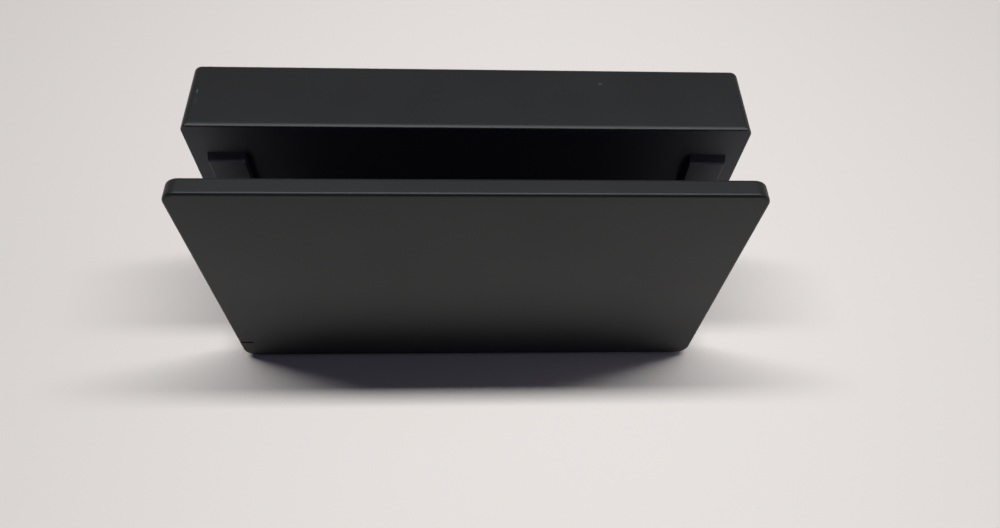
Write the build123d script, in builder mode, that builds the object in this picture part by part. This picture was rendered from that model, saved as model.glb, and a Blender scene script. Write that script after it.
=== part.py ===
from build123d import *
import os

os.makedirs("parts", exist_ok=True)

# Handheld console dock in millimetres: +X right, +Y back, +Z up, origin on the table under its middle

# Outside of the dock
width = 173.0
height = 104.0
depth = 54.0
panel_depth = 6.2
slot_width = 20.7
body_height = 102.0
door_proud = 1.5
foot_height = 1.0

# Walls, corners and fits of the mouldings
panel_wall = 2.0
panel_corner_radius = 4.6
panel_edge_radius = 1.0
liner_wall = 2.0
shell_wall = 2.4
shell_corner_radius = 2.6
shell_brow_run = 1.4
shell_brow_drop = 0.3
shell_front_radius = 0.5
shell_rear_radius = 1.8
tray_wall = 2.0
tray_floor = 2.2
tray_inset = 1.5
tray_edge_radius = 1.0
base_plate_thick = 2.4
back_plate_thick = 2.0
fit = 0.15

# Slot for the console
slot_floor = 18.0
guide_inset = 5.3
guide_wide = 11.4
guide_deep = 2.0
guide_top = 90.25
guide_ramp = 2.5
guide_edge_radius = 0.4
guide_foot_gap = 0.5
liner_rib_wide = 3.0
liner_rib_deep = 2.0
liner_rib_radius = 0.5
liner_rib_inset = 15.0
liner_rib_top_drop = 12.5

# Indicator in the lower left corner of the front
slit_height = 12.25
slit_tall = 0.9
slit_long = 5.4
slit_wrap = 2.7
lens_recess = 0.3
lens_gap = 0.08
lens_edge_radius = 0.6
lens_body_tall = 4.4
lens_body_long = 9.0
stem_inset = 9.0
stem_radius = 1.5
led_size = 2.2
led_tall = 1.0
led_board_long = 16.0
led_board_tall = 6.8
led_board_inset = 4.5

# Screws
screw_radius = 1.0
screw_head_radius = 2.0
screw_head_tall = 1.2
screw_hole_gap = 0.2
pilot_gap = 0.05
boss_wall = 1.6
case_screw_long = 4.4
board_screw_long = 4.6
tray_screw_bite = 0.3
base_screw_long = 6.0
case_screw_side_inset = 8.5
case_screw_end_inset = 9.0
case_screw_middle = 20.0
tray_screw_height = 10.0
tray_screw_inset = 28.5
base_screw_outer_inset = 10.5
base_screw_inner_x = 26.0
base_screw_recess = 1.4
standoff_radius = 2.6
panel_standoff_inset = 24.5
panel_standoff_low = 28.0
panel_standoff_drop = 24.0

# Cable bay and back plate
bay_side = 28.0
bay_floor_rise = 2.7
back_plate_gap = 2.6
bay_corner_radius = 1.5

# Rear door
hinge_radius = 1.5
hinge_peg_radius = 0.8
hinge_peg_gap = 0.06
hinge_peg_long = 3.4
hinge_ear_tall = 5.0
hinge_ear_web = 3.4
door_gap = 0.4
door_core = 1.2
door_border = 7.0
door_corner_radius = 1.5
door_edge_radius = 0.6
door_stop_long = 12.0
door_stop_tall = 2.5
door_stop_deep = 4.0
door_stop_inset = 16.0
door_stop_gap = 0.2
catch_wide = 8.0
catch_thick = 1.6
catch_deep = 4.0
catch_height = 72.0
catch_pitch = 24.0
notch_deep = 11.0
notch_tall = 30.0
notch_height = 24.0
notch_radius = 5.0

# Main board and what is on it
board_thick = 1.2
board_rise = 4.0
board_side_gap = 1.1
board_step_gap = 0.4
board_low = 22.0
board_tall = 60.0
board_corner_radius = 1.0
board_hole_inset = 17.0
board_hole_end_inset = 5.0
can_long = 40.0
can_tall = 38.0
can_high = 3.2
can_metal = 0.4
can_inset = 33.0
can_low_inset = 12.0
chip_thick = 1.1
hub_chip_size = 9.0
video_chip_size = 11.0
chip_pitch = 18.0
connector_tall = 4.0
connector_end_gap = 0.6

# Sockets
socket_window_gap = 0.25
socket_setback = 0.4
data_socket_wide = 13.1
data_socket_thick = 5.7
data_socket_long = 14.0
data_socket_reach = 9.5
socket_metal = 0.35
data_tongue_thick = 1.8
data_tongue_wide = 10.8
data_tongue_shift = 0.95
tongue_setback = 1.0
video_socket_wide = 15.0
video_socket_thick = 5.6
video_socket_long = 12.0
video_socket_reach = 8.0
video_chamfer = 1.6
video_tongue_thick = 1.2
video_tongue_wide = 11.5
power_socket_wide = 9.2
power_socket_thick = 3.5
power_socket_long = 8.0
power_socket_reach = 6.2
power_tongue_thick = 0.8
power_tongue_wide = 6.6
side_socket_low = 9.0
side_socket_pitch = 20.0
video_socket_low = 9.0
rear_socket_pitch = 20.0

# Plug in the slot, its tilting holder and the flat cables
plug_wide = 8.3
plug_thick = 2.45
plug_long = 6.5
plug_wall = 0.4
plug_mouth_deep = 5.0
plug_edge = 0.25
neck_long = 20.0
neck_wide = 7.0
neck_rise = 1.5
neck_gap = 1.2
carrier_half = 13.0
carrier_wide = 7.0
carrier_drop = 0.8
carrier_tall = 8.4
trunnion_radius = 1.5
trunnion_gap = 0.05
trunnion_long = 3.2
trunnion_drop = 8.4
saddle_thick = 3.0
saddle_gap = 0.4
saddle_lip = 2.2
plug_board_thick = 1.0
plug_board_half = 12.0
plug_connector_tall = 1.4
plug_connector_deep = 3.2
spring_thick = 0.3
spring_wide = 6.0
spring_gap = 0.4
spring_tall = 8.0
spring_foot = 2.2
cable_thick = 0.3
cable_gap = 0.4
cable_bend = 1.5
cable_rise = 1.2
cable_stand = 2.0
ribbon_wide = 10.0
lead_wide = 3.0
lead_inset = 15.5
window_gap = 1.0

# Feet
foot_long = 12.0
foot_wide = 5.0
foot_recess = 0.6
foot_inset = 20.0
foot_rear_inset = 8.0
foot_edge = 0.4

# Places that follow from the sizes
x_side = width / 2
y_front = -depth / 2
y_panel_inner = y_front + panel_wall
panel_inner_radius = panel_corner_radius - panel_wall
y_panel_back = y_front + panel_depth
y_liner_front = y_panel_back - liner_wall
y_body_front = y_panel_back + slot_width
y_shell_floor = y_body_front + shell_wall
y_brow = y_body_front + shell_brow_run
y_door_back = depth / 2
y_body_back = y_door_back - door_proud
door_thick = 2 * hinge_radius
y_door_inner = y_door_back - door_thick
y_plate_back = y_door_inner - back_plate_gap
y_plate_front = y_plate_back - back_plate_thick
y_bay_floor = y_shell_floor + bay_floor_rise
y_bay_under = y_bay_floor - back_plate_thick
y_board_front = y_shell_floor + board_rise
y_board_back = y_board_front + board_thick
z_base = foot_height
z_tray_under = slot_floor - tray_floor
z_plate_top = z_base + base_plate_thick
x_cavity = x_side - shell_wall
z_cavity_low = z_base + shell_wall
z_cavity_high = body_height - shell_wall
x_bay = bay_side
x_step = x_bay - back_plate_thick
x_tray = x_side - tray_inset
y_guide_front = y_body_front - guide_deep
y_rib_back = y_panel_back + liner_rib_deep
y_plug = (y_guide_front + y_rib_back) / 2
y_slot_middle = (y_panel_back + y_body_front) / 2
x_board_left = -(x_cavity - board_side_gap)
x_board_right = x_step - board_step_gap
board_high = board_low + board_tall
x_hinge = -(x_cavity - door_gap - hinge_radius)
y_hinge = y_door_back - hinge_radius
z_trunnion = slot_floor - trunnion_drop
boss_radius = screw_radius + boss_wall
hole_radius = screw_radius + screw_hole_gap
pilot_radius = screw_radius + pilot_gap
tray_screw_long = tray_wall + shell_wall + tray_screw_bite
ear_clear = hinge_ear_tall + door_gap
x_ear_clear = x_hinge + hinge_radius + door_gap

# Heights of the hinge ears, of the room left for them and of the door's stops, at both ends
z_ear_low = z_cavity_low + hinge_ear_tall
z_ear_high = z_cavity_high - hinge_ear_tall
ear_spans = ((z_cavity_low, z_ear_low), (z_ear_high, z_cavity_high))
ear_room_spans = ((z_cavity_low, z_cavity_low + ear_clear), (z_cavity_high - ear_clear, z_cavity_high))
stop_spans = ((z_cavity_low, z_cavity_low + door_stop_tall), (z_cavity_high - door_stop_tall, z_cavity_high))

# Screw places, in X and Z on upright walls and in X and Y on level ones
case_heights = (z_base + case_screw_end_inset, body_height - case_screw_end_inset)
case_left = -(x_side - case_screw_side_inset)
case_columns = (case_left, case_screw_middle)
case_places = [(x, z) for x in case_columns for z in case_heights]
bay_places = [(-case_left, z) for z in case_heights]
tray_places = [(side * (x_side - tray_screw_inset), tray_screw_height) for side in (-1, 1)]
base_columns = (x_side - base_screw_outer_inset, base_screw_inner_x)
base_places = [(side * x, y_slot_middle) for x in base_columns for side in (-1, 1)]
board_columns = (x_board_left + board_hole_inset, x_board_right - board_hole_inset)
board_rows = (board_low + board_hole_end_inset, board_high - board_hole_end_inset)
board_places = [(x, z) for x in board_columns for z in board_rows]
panel_columns = (-(x_side - panel_standoff_inset), x_side - panel_standoff_inset)
panel_places = [(x, z) for x in panel_columns for z in (panel_standoff_low, height - panel_standoff_drop)]
foot_columns = (-(x_side - foot_inset), x_side - foot_inset)
front_foot_places = [(x, y_slot_middle) for x in foot_columns]
rear_foot_places = [(x, y_body_back - foot_rear_inset) for x in foot_columns]

# Sockets: height of each middle, the mouth's place and the middle of the row above the board
z_side_sockets = (board_low + side_socket_low, board_low + side_socket_low + side_socket_pitch)
z_video = board_low + video_socket_low
z_rear_data = z_video + rear_socket_pitch
z_power = z_rear_data + rear_socket_pitch
x_side_mouth = -(x_side - socket_setback)
x_rear_mouth = x_bay - socket_setback
y_data_socket = y_board_back + data_socket_thick / 2
y_video_socket = y_board_back + video_socket_thick / 2
y_power_socket = y_board_back + power_socket_thick / 2

# Flat cables: their level in the base, and the windows that they pass through
z_cable = z_plate_top + cable_rise
y_cable_rise = y_shell_floor + cable_stand
z_connector = board_low + connector_tall
z_cable_end = z_connector - cable_gap
x_lead = -(x_side - lead_inset)
cable_windows = ((0, ribbon_wide), (x_lead, lead_wide))


def facing_front(y):
    """Plane at a given Y that faces the front, with X to the right and Z up."""
    return Plane((0, y, 0), x_dir=(1, 0, 0), z_dir=(0, -1, 0))


def facing_left(x, y, z):
    """Plane at a point that faces left, with Z up."""
    return Plane((x, y, z), x_dir=(0, -1, 0), z_dir=(-1, 0, 0))


def facing_right(x, y, z):
    """Plane at a point that faces right, with Z up."""
    return Plane((x, y, z), x_dir=(0, 1, 0), z_dir=(1, 0, 0))


def block(low, high, mode=Mode.ADD):
    """Box between its lowest and highest corners."""
    size = Vector(*high) - Vector(*low)
    with Locations(Vector(*low) + size / 2):
        Box(size.X, size.Y, size.Z, mode=mode)


def pillars(plane, places, radius, amount, mode=Mode.ADD):
    """Round posts or holes of one radius that stand on a plane at several places."""
    with BuildSketch(plane) as rounds:
        with Locations(*places):
            Circle(radius)
    extrude(rounds.sketch, amount=amount, mode=mode)


def screws(plane, places, long):
    """Screws whose heads stand on the far side of a plane that their shanks point out of."""
    pillars(plane, places, screw_head_radius, -screw_head_tall)
    pillars(plane, places, screw_radius, long)


# Front panel: a shallow tray with soft edges, posts for the liner and the indicator slit
with BuildPart() as front_panel:
    with BuildSketch(facing_front(y_panel_back)):
        with Locations((0, (z_base + height) / 2)):
            RectangleRounded(width, height - z_base, panel_corner_radius)
    extrude(amount=panel_depth)
    fillet(front_panel.faces().sort_by(Axis.Y)[0].edges(), panel_edge_radius)
    fillet(front_panel.faces().sort_by(Axis.Y)[-1].edges(), panel_edge_radius)
    with BuildSketch(facing_front(y_panel_back)):
        with Locations((0, (z_base + height) / 2)):
            RectangleRounded(width - 2 * panel_wall, height - z_base - 2 * panel_wall, panel_inner_radius)
    extrude(amount=y_panel_back - y_panel_inner, mode=Mode.SUBTRACT)
    pillars(facing_front(y_liner_front), panel_places, standoff_radius, y_liner_front - y_panel_inner)
    block(
        (-x_side - slit_long, y_front - slit_wrap, slit_height - slit_tall / 2),
        (-x_side + slit_long, y_front + slit_wrap, slit_height + slit_tall / 2),
        mode=Mode.SUBTRACT,
    )
front_panel.part.label = "front_panel"
export_step(front_panel.part, "parts/front_panel.step")

# Front liner: the slot's front wall, let into the panel, with two upright ribs and the base's screw bosses
liner_low = z_base + panel_wall + fit
liner_high = height - panel_wall - fit
liner_half = x_side - panel_wall - fit
with BuildPart() as front_liner:
    with BuildSketch(facing_front(y_panel_back)):
        with Locations((0, (liner_low + liner_high) / 2)):
            RectangleRounded(2 * liner_half, liner_high - liner_low, panel_inner_radius)
    extrude(amount=liner_wall)
    for side in (-1, 1):
        rib_middle = side * (x_side - liner_rib_inset)
        block(
            (rib_middle - liner_rib_wide / 2, y_panel_back, slot_floor),
            (rib_middle + liner_rib_wide / 2, y_rib_back, height - liner_rib_top_drop),
        )
    rib_edges = front_liner.edges().filter_by(Axis.Z).group_by(Axis.Y)[-1]
    fillet(rib_edges, liner_rib_radius)
    liner_boss = y_liner_front - y_panel_inner - fit
    pillars(facing_front(y_liner_front), tray_places, boss_radius, liner_boss)
    pillars(facing_front(y_panel_back), tray_places, pilot_radius, tray_screw_long - tray_wall, Mode.SUBTRACT)
    stem_place = (-(x_side - stem_inset), slit_height)
    pillars(facing_front(y_panel_back), [stem_place], stem_radius + fit, liner_wall, Mode.SUBTRACT)
front_liner.part.label = "front_liner"
export_step(front_liner.part, "parts/front_liner.step")

# Light pipe: a thin lens in the slit, a block behind it and a stem to the lamp
y_lens_back = y_liner_front - fit
y_led_front = y_panel_back + tray_wall - led_tall
with BuildPart() as light_pipe:
    lens_half = slit_tall / 2 - lens_gap
    block(
        (-x_side + lens_recess, y_front + lens_recess, slit_height - lens_half),
        (-x_side + slit_long - lens_gap, y_front + slit_wrap - lens_gap, slit_height + lens_half),
    )
    lens_corner = light_pipe.edges().filter_by(Axis.Z).sort_by(Axis.Y)[:2].sort_by(Axis.X)[0]
    fillet(lens_corner, lens_edge_radius)
    block(
        (-x_side + panel_wall + fit, y_panel_inner + fit, slit_height - lens_body_tall / 2),
        (-x_side + panel_wall + lens_body_long, y_lens_back, slit_height + lens_body_tall / 2),
    )
    pillars(facing_front(y_lens_back), [stem_place], stem_radius, y_lens_back - y_led_front + cable_gap)
light_pipe.part.label = "light_pipe"
export_step(light_pipe.part, "parts/light_pipe.step")

# Base tray: the slot's floor, with the plug's opening, the saddles, the screw bosses and cable windows
with BuildPart() as base_tray:
    block((-x_tray, y_panel_back, z_base), (x_tray, y_body_front, slot_floor))
    end_edges = base_tray.edges().filter_by(Axis.Y).group_by(Axis.Z)[0]
    fillet(end_edges, tray_edge_radius)
    block(
        (-x_tray + tray_wall, y_panel_back + tray_wall, z_base),
        (x_tray - tray_wall, y_body_front - tray_wall, z_tray_under),
        mode=Mode.SUBTRACT,
    )
    with BuildSketch(Plane.XY.offset(slot_floor)):
        with Locations((0, y_plug)):
            SlotOverall(neck_long + 2 * neck_gap, neck_wide + 2 * neck_gap)
    extrude(amount=-tray_floor, mode=Mode.SUBTRACT)
    pillars(Plane.XY.offset(z_tray_under), base_places, boss_radius, z_plate_top - z_tray_under)
    pillars(
        Plane.XY.offset(z_plate_top),
        base_places,
        pilot_radius,
        base_screw_long - base_plate_thick + base_screw_recess + boss_wall,
        Mode.SUBTRACT,
    )
    for side in (-1, 1):
        saddle_inner = side * (carrier_half + saddle_gap)
        saddle_outer = saddle_inner + side * saddle_thick
        saddle_half = trunnion_radius + saddle_lip
        block(
            (min(saddle_inner, saddle_outer), y_plug - saddle_half, z_trunnion - saddle_half),
            (max(saddle_inner, saddle_outer), y_plug + saddle_half, z_tray_under),
        )
    bearing = Plane((0, y_plug, z_trunnion), x_dir=(0, 1, 0), z_dir=(1, 0, 0))
    with BuildSketch(bearing):
        Circle(trunnion_radius + trunnion_gap)
    extrude(amount=carrier_half + saddle_gap + saddle_thick, both=True, mode=Mode.SUBTRACT)
    pillars(facing_front(y_panel_back), tray_places, hole_radius, -tray_wall, Mode.SUBTRACT)
    pillars(facing_front(y_body_front), tray_places, hole_radius, tray_wall, Mode.SUBTRACT)
    pillars(facing_front(y_panel_back), [stem_place], stem_radius + fit, -tray_wall, Mode.SUBTRACT)
    for middle, wide in cable_windows:
        block(
            (middle - wide / 2 - window_gap, y_body_front - tray_wall, z_cable - window_gap),
            (middle + wide / 2 + window_gap, y_body_front, z_cable + window_gap),
            mode=Mode.SUBTRACT,
        )
base_tray.part.label = "base_tray"
export_step(base_tray.part, "parts/base_tray.step")

# Base plate: the bottom cover between the tray's walls, with sunk screw heads and two foot recesses
with BuildPart() as base_plate:
    block(
        (-x_tray + tray_wall + fit, y_panel_back + tray_wall + fit, z_base),
        (x_tray - tray_wall - fit, y_body_front - tray_wall - fit, z_plate_top),
    )
    pillars(Plane.XY.offset(z_base), base_places, hole_radius, base_plate_thick, Mode.SUBTRACT)
    head_room = screw_head_radius + screw_hole_gap
    pillars(Plane.XY.offset(z_base), base_places, head_room, base_screw_recess, Mode.SUBTRACT)
    with BuildSketch(Plane.XY.offset(z_base)):
        with Locations(*front_foot_places):
            SlotOverall(foot_long + 2 * fit, foot_wide + 2 * fit)
    extrude(amount=foot_recess, mode=Mode.SUBTRACT)
base_plate.part.label = "base_plate"
export_step(base_plate.part, "parts/base_plate.step")

# Rear shell: a deep box open at the back, with the console's guides on its front wall
board_standoff = y_board_front - y_shell_floor
with BuildPart() as rear_shell:
    with BuildSketch(facing_front(y_body_back)):
        with Locations((0, (z_base + body_height) / 2)):
            RectangleRounded(width, body_height - z_base, shell_corner_radius)
    extrude(amount=y_body_back - y_body_front)
    # Brow along the top: a shallow curve down to the front, with a tighter edge round the front
    z_brow = body_height - shell_brow_drop
    with BuildSketch(Plane.YZ):
        with BuildLine():
            TangentArc((y_brow, body_height), (y_body_front, z_brow), tangent=(-1, 0))
            Polyline((y_body_front, z_brow), (y_body_front, body_height), (y_brow, body_height))
        make_face()
    extrude(amount=x_side, both=True, mode=Mode.SUBTRACT)
    fillet(rear_shell.faces().sort_by(Axis.Y)[0].edges(), shell_front_radius)
    fillet(rear_shell.faces().sort_by(Axis.Y)[-1].edges(), shell_rear_radius)
    with BuildSketch(facing_front(y_body_back)):
        with Locations((0, (z_base + body_height) / 2)):
            Rectangle(2 * x_cavity, z_cavity_high - z_cavity_low)
    extrude(amount=y_body_back - y_shell_floor, mode=Mode.SUBTRACT)
    # Guides that centre the console, with a ramp at the top of each
    guide_low = slot_floor + guide_foot_gap
    for side in (-1, 1):
        with BuildSketch(Plane.YZ.offset(side * (x_side - guide_inset))):
            with BuildLine():
                Polyline(
                    (y_body_front, guide_low),
                    (y_guide_front, guide_low),
                    (y_guide_front, guide_top - guide_ramp),
                    (y_body_front, guide_top),
                    close=True,
                )
            make_face()
        extrude(amount=-side * guide_wide)
    guide_tips = rear_shell.faces().filter_by(Axis.Y).sort_by(Axis.Y)[:2]
    fillet(guide_tips.edges(), guide_edge_radius)
    # Bosses of the back plate, the main board and the base
    pillars(facing_front(y_plate_front), case_places, boss_radius, y_plate_front - y_shell_floor)
    pillars(facing_front(y_bay_under), bay_places, boss_radius, y_bay_under - y_shell_floor)
    pillars(facing_front(y_board_front), board_places, standoff_radius, board_standoff)
    pillars(facing_front(y_bay_under), tray_places, boss_radius, y_bay_under - y_shell_floor)
    case_grip = case_screw_long - back_plate_thick + fit
    pillars(facing_front(y_plate_front), case_places, pilot_radius, case_grip, Mode.SUBTRACT)
    pillars(facing_front(y_bay_under), bay_places, pilot_radius, case_grip, Mode.SUBTRACT)
    board_grip = board_screw_long - board_thick + fit
    pillars(facing_front(y_board_front), board_places, pilot_radius, board_grip, Mode.SUBTRACT)
    tray_grip = tray_screw_long - tray_wall + fit
    pillars(facing_front(y_body_front), tray_places, pilot_radius, -tray_grip, Mode.SUBTRACT)
    # Openings for the flat cables and for the two side sockets
    for middle, wide in cable_windows:
        block(
            (middle - wide / 2 - window_gap, y_body_front, z_cable - window_gap),
            (middle + wide / 2 + window_gap, y_shell_floor, z_cable + window_gap),
            mode=Mode.SUBTRACT,
        )
    for z in z_side_sockets:
        with BuildSketch(facing_left(-x_side, y_data_socket, z)):
            Rectangle(data_socket_thick + 2 * socket_window_gap, data_socket_wide + 2 * socket_window_gap)
        extrude(amount=-shell_wall, mode=Mode.SUBTRACT)
    # Cable notch in the right wall, rounded at its inner corners
    with BuildSketch(facing_right(x_cavity, y_body_back, notch_height)):
        Rectangle(2 * notch_deep, notch_tall)
        fillet(vertices().group_by(Axis.X)[0], notch_radius)
    extrude(amount=shell_wall, mode=Mode.SUBTRACT)
    # Hinge ears in the left corners, rounded about the hinge line, and the stops of the door
    for z_from, z_to in ear_spans:
        with BuildSketch(Plane.XY.offset(z_from)):
            with Locations((x_hinge, y_hinge)):
                Circle(hinge_radius)
            with BuildLine():
                Polyline(
                    (-x_cavity, y_hinge - hinge_ear_web),
                    (x_hinge + hinge_radius, y_hinge - hinge_ear_web),
                    (x_hinge + hinge_radius, y_hinge),
                    (x_hinge - hinge_radius, y_hinge),
                    (-x_cavity, y_body_back - door_gap),
                    close=True,
                )
            make_face()
        extrude(amount=z_to - z_from)
    for z_from, turn in ((z_ear_high, 1), (z_ear_low, -1)):
        with BuildSketch(Plane.XY.offset(z_from)):
            with Locations((x_hinge, y_hinge)):
                Circle(hinge_peg_radius + hinge_peg_gap)
        extrude(amount=turn * hinge_peg_long, mode=Mode.SUBTRACT)
    y_stop = y_door_inner - door_stop_gap
    for z_from, z_to in stop_spans:
        block(
            (x_cavity - door_stop_inset - door_stop_long, y_stop - door_stop_deep, z_from),
            (x_cavity - door_stop_inset, y_stop, z_to),
        )
    # Recesses of the rear feet
    with BuildSketch(Plane.XY.offset(z_base)):
        with Locations(*rear_foot_places):
            SlotOverall(foot_long + 2 * fit, foot_wide + 2 * fit)
    extrude(amount=foot_recess, mode=Mode.SUBTRACT)
rear_shell.part.label = "rear_shell"
export_step(rear_shell.part, "parts/rear_shell.step")

# Back plate: a stepped cover whose low side is the cable bay's floor, with windows for three sockets
with BuildPart() as back_plate:
    with BuildSketch(Plane.XY.offset(z_cavity_low + fit)):
        with BuildLine():
            Polyline(
                (-x_cavity + fit, y_plate_front),
                (x_step, y_plate_front),
                (x_step, y_bay_under),
                (x_cavity - fit, y_bay_under),
                (x_cavity - fit, y_bay_floor),
                (x_bay, y_bay_floor),
                (x_bay, y_plate_back),
                (-x_cavity + fit, y_plate_back),
                close=True,
            )
        make_face()
    extrude(amount=z_cavity_high - z_cavity_low - 2 * fit)
    step_edges = back_plate.edges().filter_by(Axis.Z)
    outer_step = step_edges.filter_by_position(Axis.X, x_bay - fit, x_bay + fit).sort_by(Axis.Y)[-1]
    fillet(outer_step, bay_corner_radius)
    pillars(facing_front(y_plate_back), case_places, hole_radius, back_plate_thick, Mode.SUBTRACT)
    pillars(facing_front(y_bay_floor), bay_places, hole_radius, back_plate_thick, Mode.SUBTRACT)
    for z_from, z_to in ear_room_spans:
        block(
            (-x_cavity, y_plate_front, z_from),
            (x_ear_clear, y_plate_back, z_to),
            mode=Mode.SUBTRACT,
        )
    with BuildSketch(facing_right(x_bay, y_data_socket, z_rear_data)):
        Rectangle(data_socket_thick + 2 * socket_window_gap, data_socket_wide + 2 * socket_window_gap)
    extrude(amount=-back_plate_thick, mode=Mode.SUBTRACT)
    with BuildSketch(facing_right(x_bay, y_video_socket, z_video)):
        Rectangle(video_socket_thick + 2 * socket_window_gap, video_socket_wide + 2 * socket_window_gap)
    extrude(amount=-back_plate_thick, mode=Mode.SUBTRACT)
    with BuildSketch(facing_right(x_bay, y_power_socket, z_power)):
        SlotOverall(
            power_socket_wide + 2 * socket_window_gap,
            power_socket_thick + 2 * socket_window_gap,
            rotation=90,
        )
    extrude(amount=-back_plate_thick, mode=Mode.SUBTRACT)
back_plate.part.label = "back_plate"
export_step(back_plate.part, "parts/back_plate.step")

# Rear door: a cored plate that turns on its rounded left edge, with pegs, catch tabs and the cable notch
door_low = z_cavity_low + door_gap
door_high = z_cavity_high - door_gap
door_free = x_cavity - door_gap
with BuildPart() as rear_door:
    with BuildSketch(facing_front(y_door_back)):
        with Locations(((x_hinge + door_free) / 2, (door_low + door_high) / 2)):
            Rectangle(door_free - x_hinge, door_high - door_low)
        with Locations((door_free, notch_height)):
            Rectangle(2 * notch_deep, notch_tall, mode=Mode.SUBTRACT)
        notch_end = door_free - notch_deep
        notch_corners = vertices().filter_by_position(Axis.X, notch_end - fit, notch_end + fit)
        fillet(notch_corners, notch_radius)
    extrude(amount=door_thick)
    free_corners = rear_door.edges().filter_by(Axis.Y).group_by(Axis.X)[-1]
    fillet(free_corners, door_corner_radius)
    free_rim = rear_door.faces().sort_by(Axis.Y)[-1].edges()
    hinge_line = free_rim.sort_by(Axis.X)[0]
    fillet(free_rim - [hinge_line], door_edge_radius)
    # Core on the inside, kept clear of the notch and of the rims
    with BuildSketch(facing_front(y_door_inner + door_core)):
        with Locations(((x_hinge + door_free - notch_deep) / 2, (door_low + door_high) / 2)):
            RectangleRounded(
                door_free - notch_deep - x_hinge - 2 * door_border,
                door_high - door_low - 2 * door_border,
                door_corner_radius,
            )
    extrude(amount=door_core, mode=Mode.SUBTRACT)
    # Rounded hinge edge, cut back at both ends for the ears, and the pegs
    with BuildSketch(Plane.XY.offset(door_low)):
        with Locations((x_hinge, y_hinge)):
            Circle(hinge_radius)
    extrude(amount=door_high - door_low)
    for z_from, z_to in ear_room_spans:
        block(
            (-x_cavity, y_door_inner, z_from),
            (x_ear_clear, y_door_back, z_to),
            mode=Mode.SUBTRACT,
        )
    peg_reach = hinge_peg_long + door_gap - fit
    for z_from, turn in ((z_cavity_high - ear_clear, 1), (z_cavity_low + ear_clear, -1)):
        with BuildSketch(Plane.XY.offset(z_from)):
            with Locations((x_hinge, y_hinge)):
                Circle(hinge_peg_radius)
        extrude(amount=turn * peg_reach)
    for z in (catch_height - catch_pitch / 2, catch_height + catch_pitch / 2):
        block(
            (door_free - fit - catch_thick, y_door_inner - catch_deep, z - catch_wide / 2),
            (door_free - fit, y_door_inner, z + catch_wide / 2),
        )
rear_door.part.label = "rear_door"
export_step(rear_door.part, "parts/rear_door.step")

# Main board on its posts
with BuildPart() as main_board:
    with BuildSketch(facing_front(y_board_back)):
        with Locations(((x_board_left + x_board_right) / 2, (board_low + board_high) / 2)):
            RectangleRounded(x_board_right - x_board_left, board_tall, board_corner_radius)
    extrude(amount=board_thick)
    pillars(facing_front(y_board_back), board_places, hole_radius, board_thick, Mode.SUBTRACT)
main_board.part.label = "main_board"
export_step(main_board.part, "parts/main_board.step")


def data_socket(plane, tongue_shift):
    """Metal shell with a flat tongue inside, off its middle, mouth in the given plane."""
    with BuildPart() as socket:
        with BuildSketch(plane):
            Rectangle(data_socket_thick, data_socket_wide)
        extrude(amount=-data_socket_long)
        with BuildSketch(plane):
            Rectangle(data_socket_thick - 2 * socket_metal, data_socket_wide - 2 * socket_metal)
        extrude(amount=-data_socket_reach, mode=Mode.SUBTRACT)
        with BuildSketch(plane.offset(-data_socket_reach)):
            with Locations((tongue_shift, 0)):
                Rectangle(data_tongue_thick, data_tongue_wide)
        extrude(amount=data_socket_reach - tongue_setback)
    return socket


# Two data sockets in the left side and one in the cable bay
data_socket_lower = data_socket(facing_left(x_side_mouth, y_data_socket, z_side_sockets[0]), -data_tongue_shift)
data_socket_lower.part.label = "data_socket_lower"
export_step(data_socket_lower.part, "parts/data_socket_lower.step")
data_socket_upper = data_socket(facing_left(x_side_mouth, y_data_socket, z_side_sockets[1]), -data_tongue_shift)
data_socket_upper.part.label = "data_socket_upper"
export_step(data_socket_upper.part, "parts/data_socket_upper.step")
data_socket_rear = data_socket(facing_right(x_rear_mouth, y_data_socket, z_rear_data), data_tongue_shift)
data_socket_rear.part.label = "data_socket_rear"
export_step(data_socket_rear.part, "parts/data_socket_rear.step")

# Video socket: a shell whose mouth narrows towards the board
video_plane = facing_right(x_rear_mouth, y_video_socket, z_video)
with BuildPart() as video_socket:
    with BuildSketch(video_plane):
        Rectangle(video_socket_thick, video_socket_wide)
    extrude(amount=-video_socket_long)
    with BuildSketch(video_plane):
        Rectangle(video_socket_thick - 2 * socket_metal, video_socket_wide - 2 * socket_metal)
        chamfer(vertices().group_by(Axis.X)[0], video_chamfer)
    extrude(amount=-video_socket_reach, mode=Mode.SUBTRACT)
    with BuildSketch(video_plane.offset(-video_socket_reach)):
        Rectangle(video_tongue_thick, video_tongue_wide)
    extrude(amount=video_socket_reach - tongue_setback)
video_socket.part.label = "video_socket"
export_step(video_socket.part, "parts/video_socket.step")

# Power socket: an oval shell with a thin tongue
power_plane = facing_right(x_rear_mouth, y_power_socket, z_power)
with BuildPart() as power_socket:
    with BuildSketch(power_plane):
        SlotOverall(power_socket_wide, power_socket_thick, rotation=90)
    extrude(amount=-power_socket_long)
    with BuildSketch(power_plane):
        SlotOverall(power_socket_wide - 2 * socket_metal, power_socket_thick - 2 * socket_metal, rotation=90)
    extrude(amount=-power_socket_reach, mode=Mode.SUBTRACT)
    with BuildSketch(power_plane.offset(-power_socket_reach)):
        Rectangle(power_tongue_thick, power_tongue_wide)
    extrude(amount=power_socket_reach - tongue_setback)
power_socket.part.label = "power_socket"
export_step(power_socket.part, "parts/power_socket.step")

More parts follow.
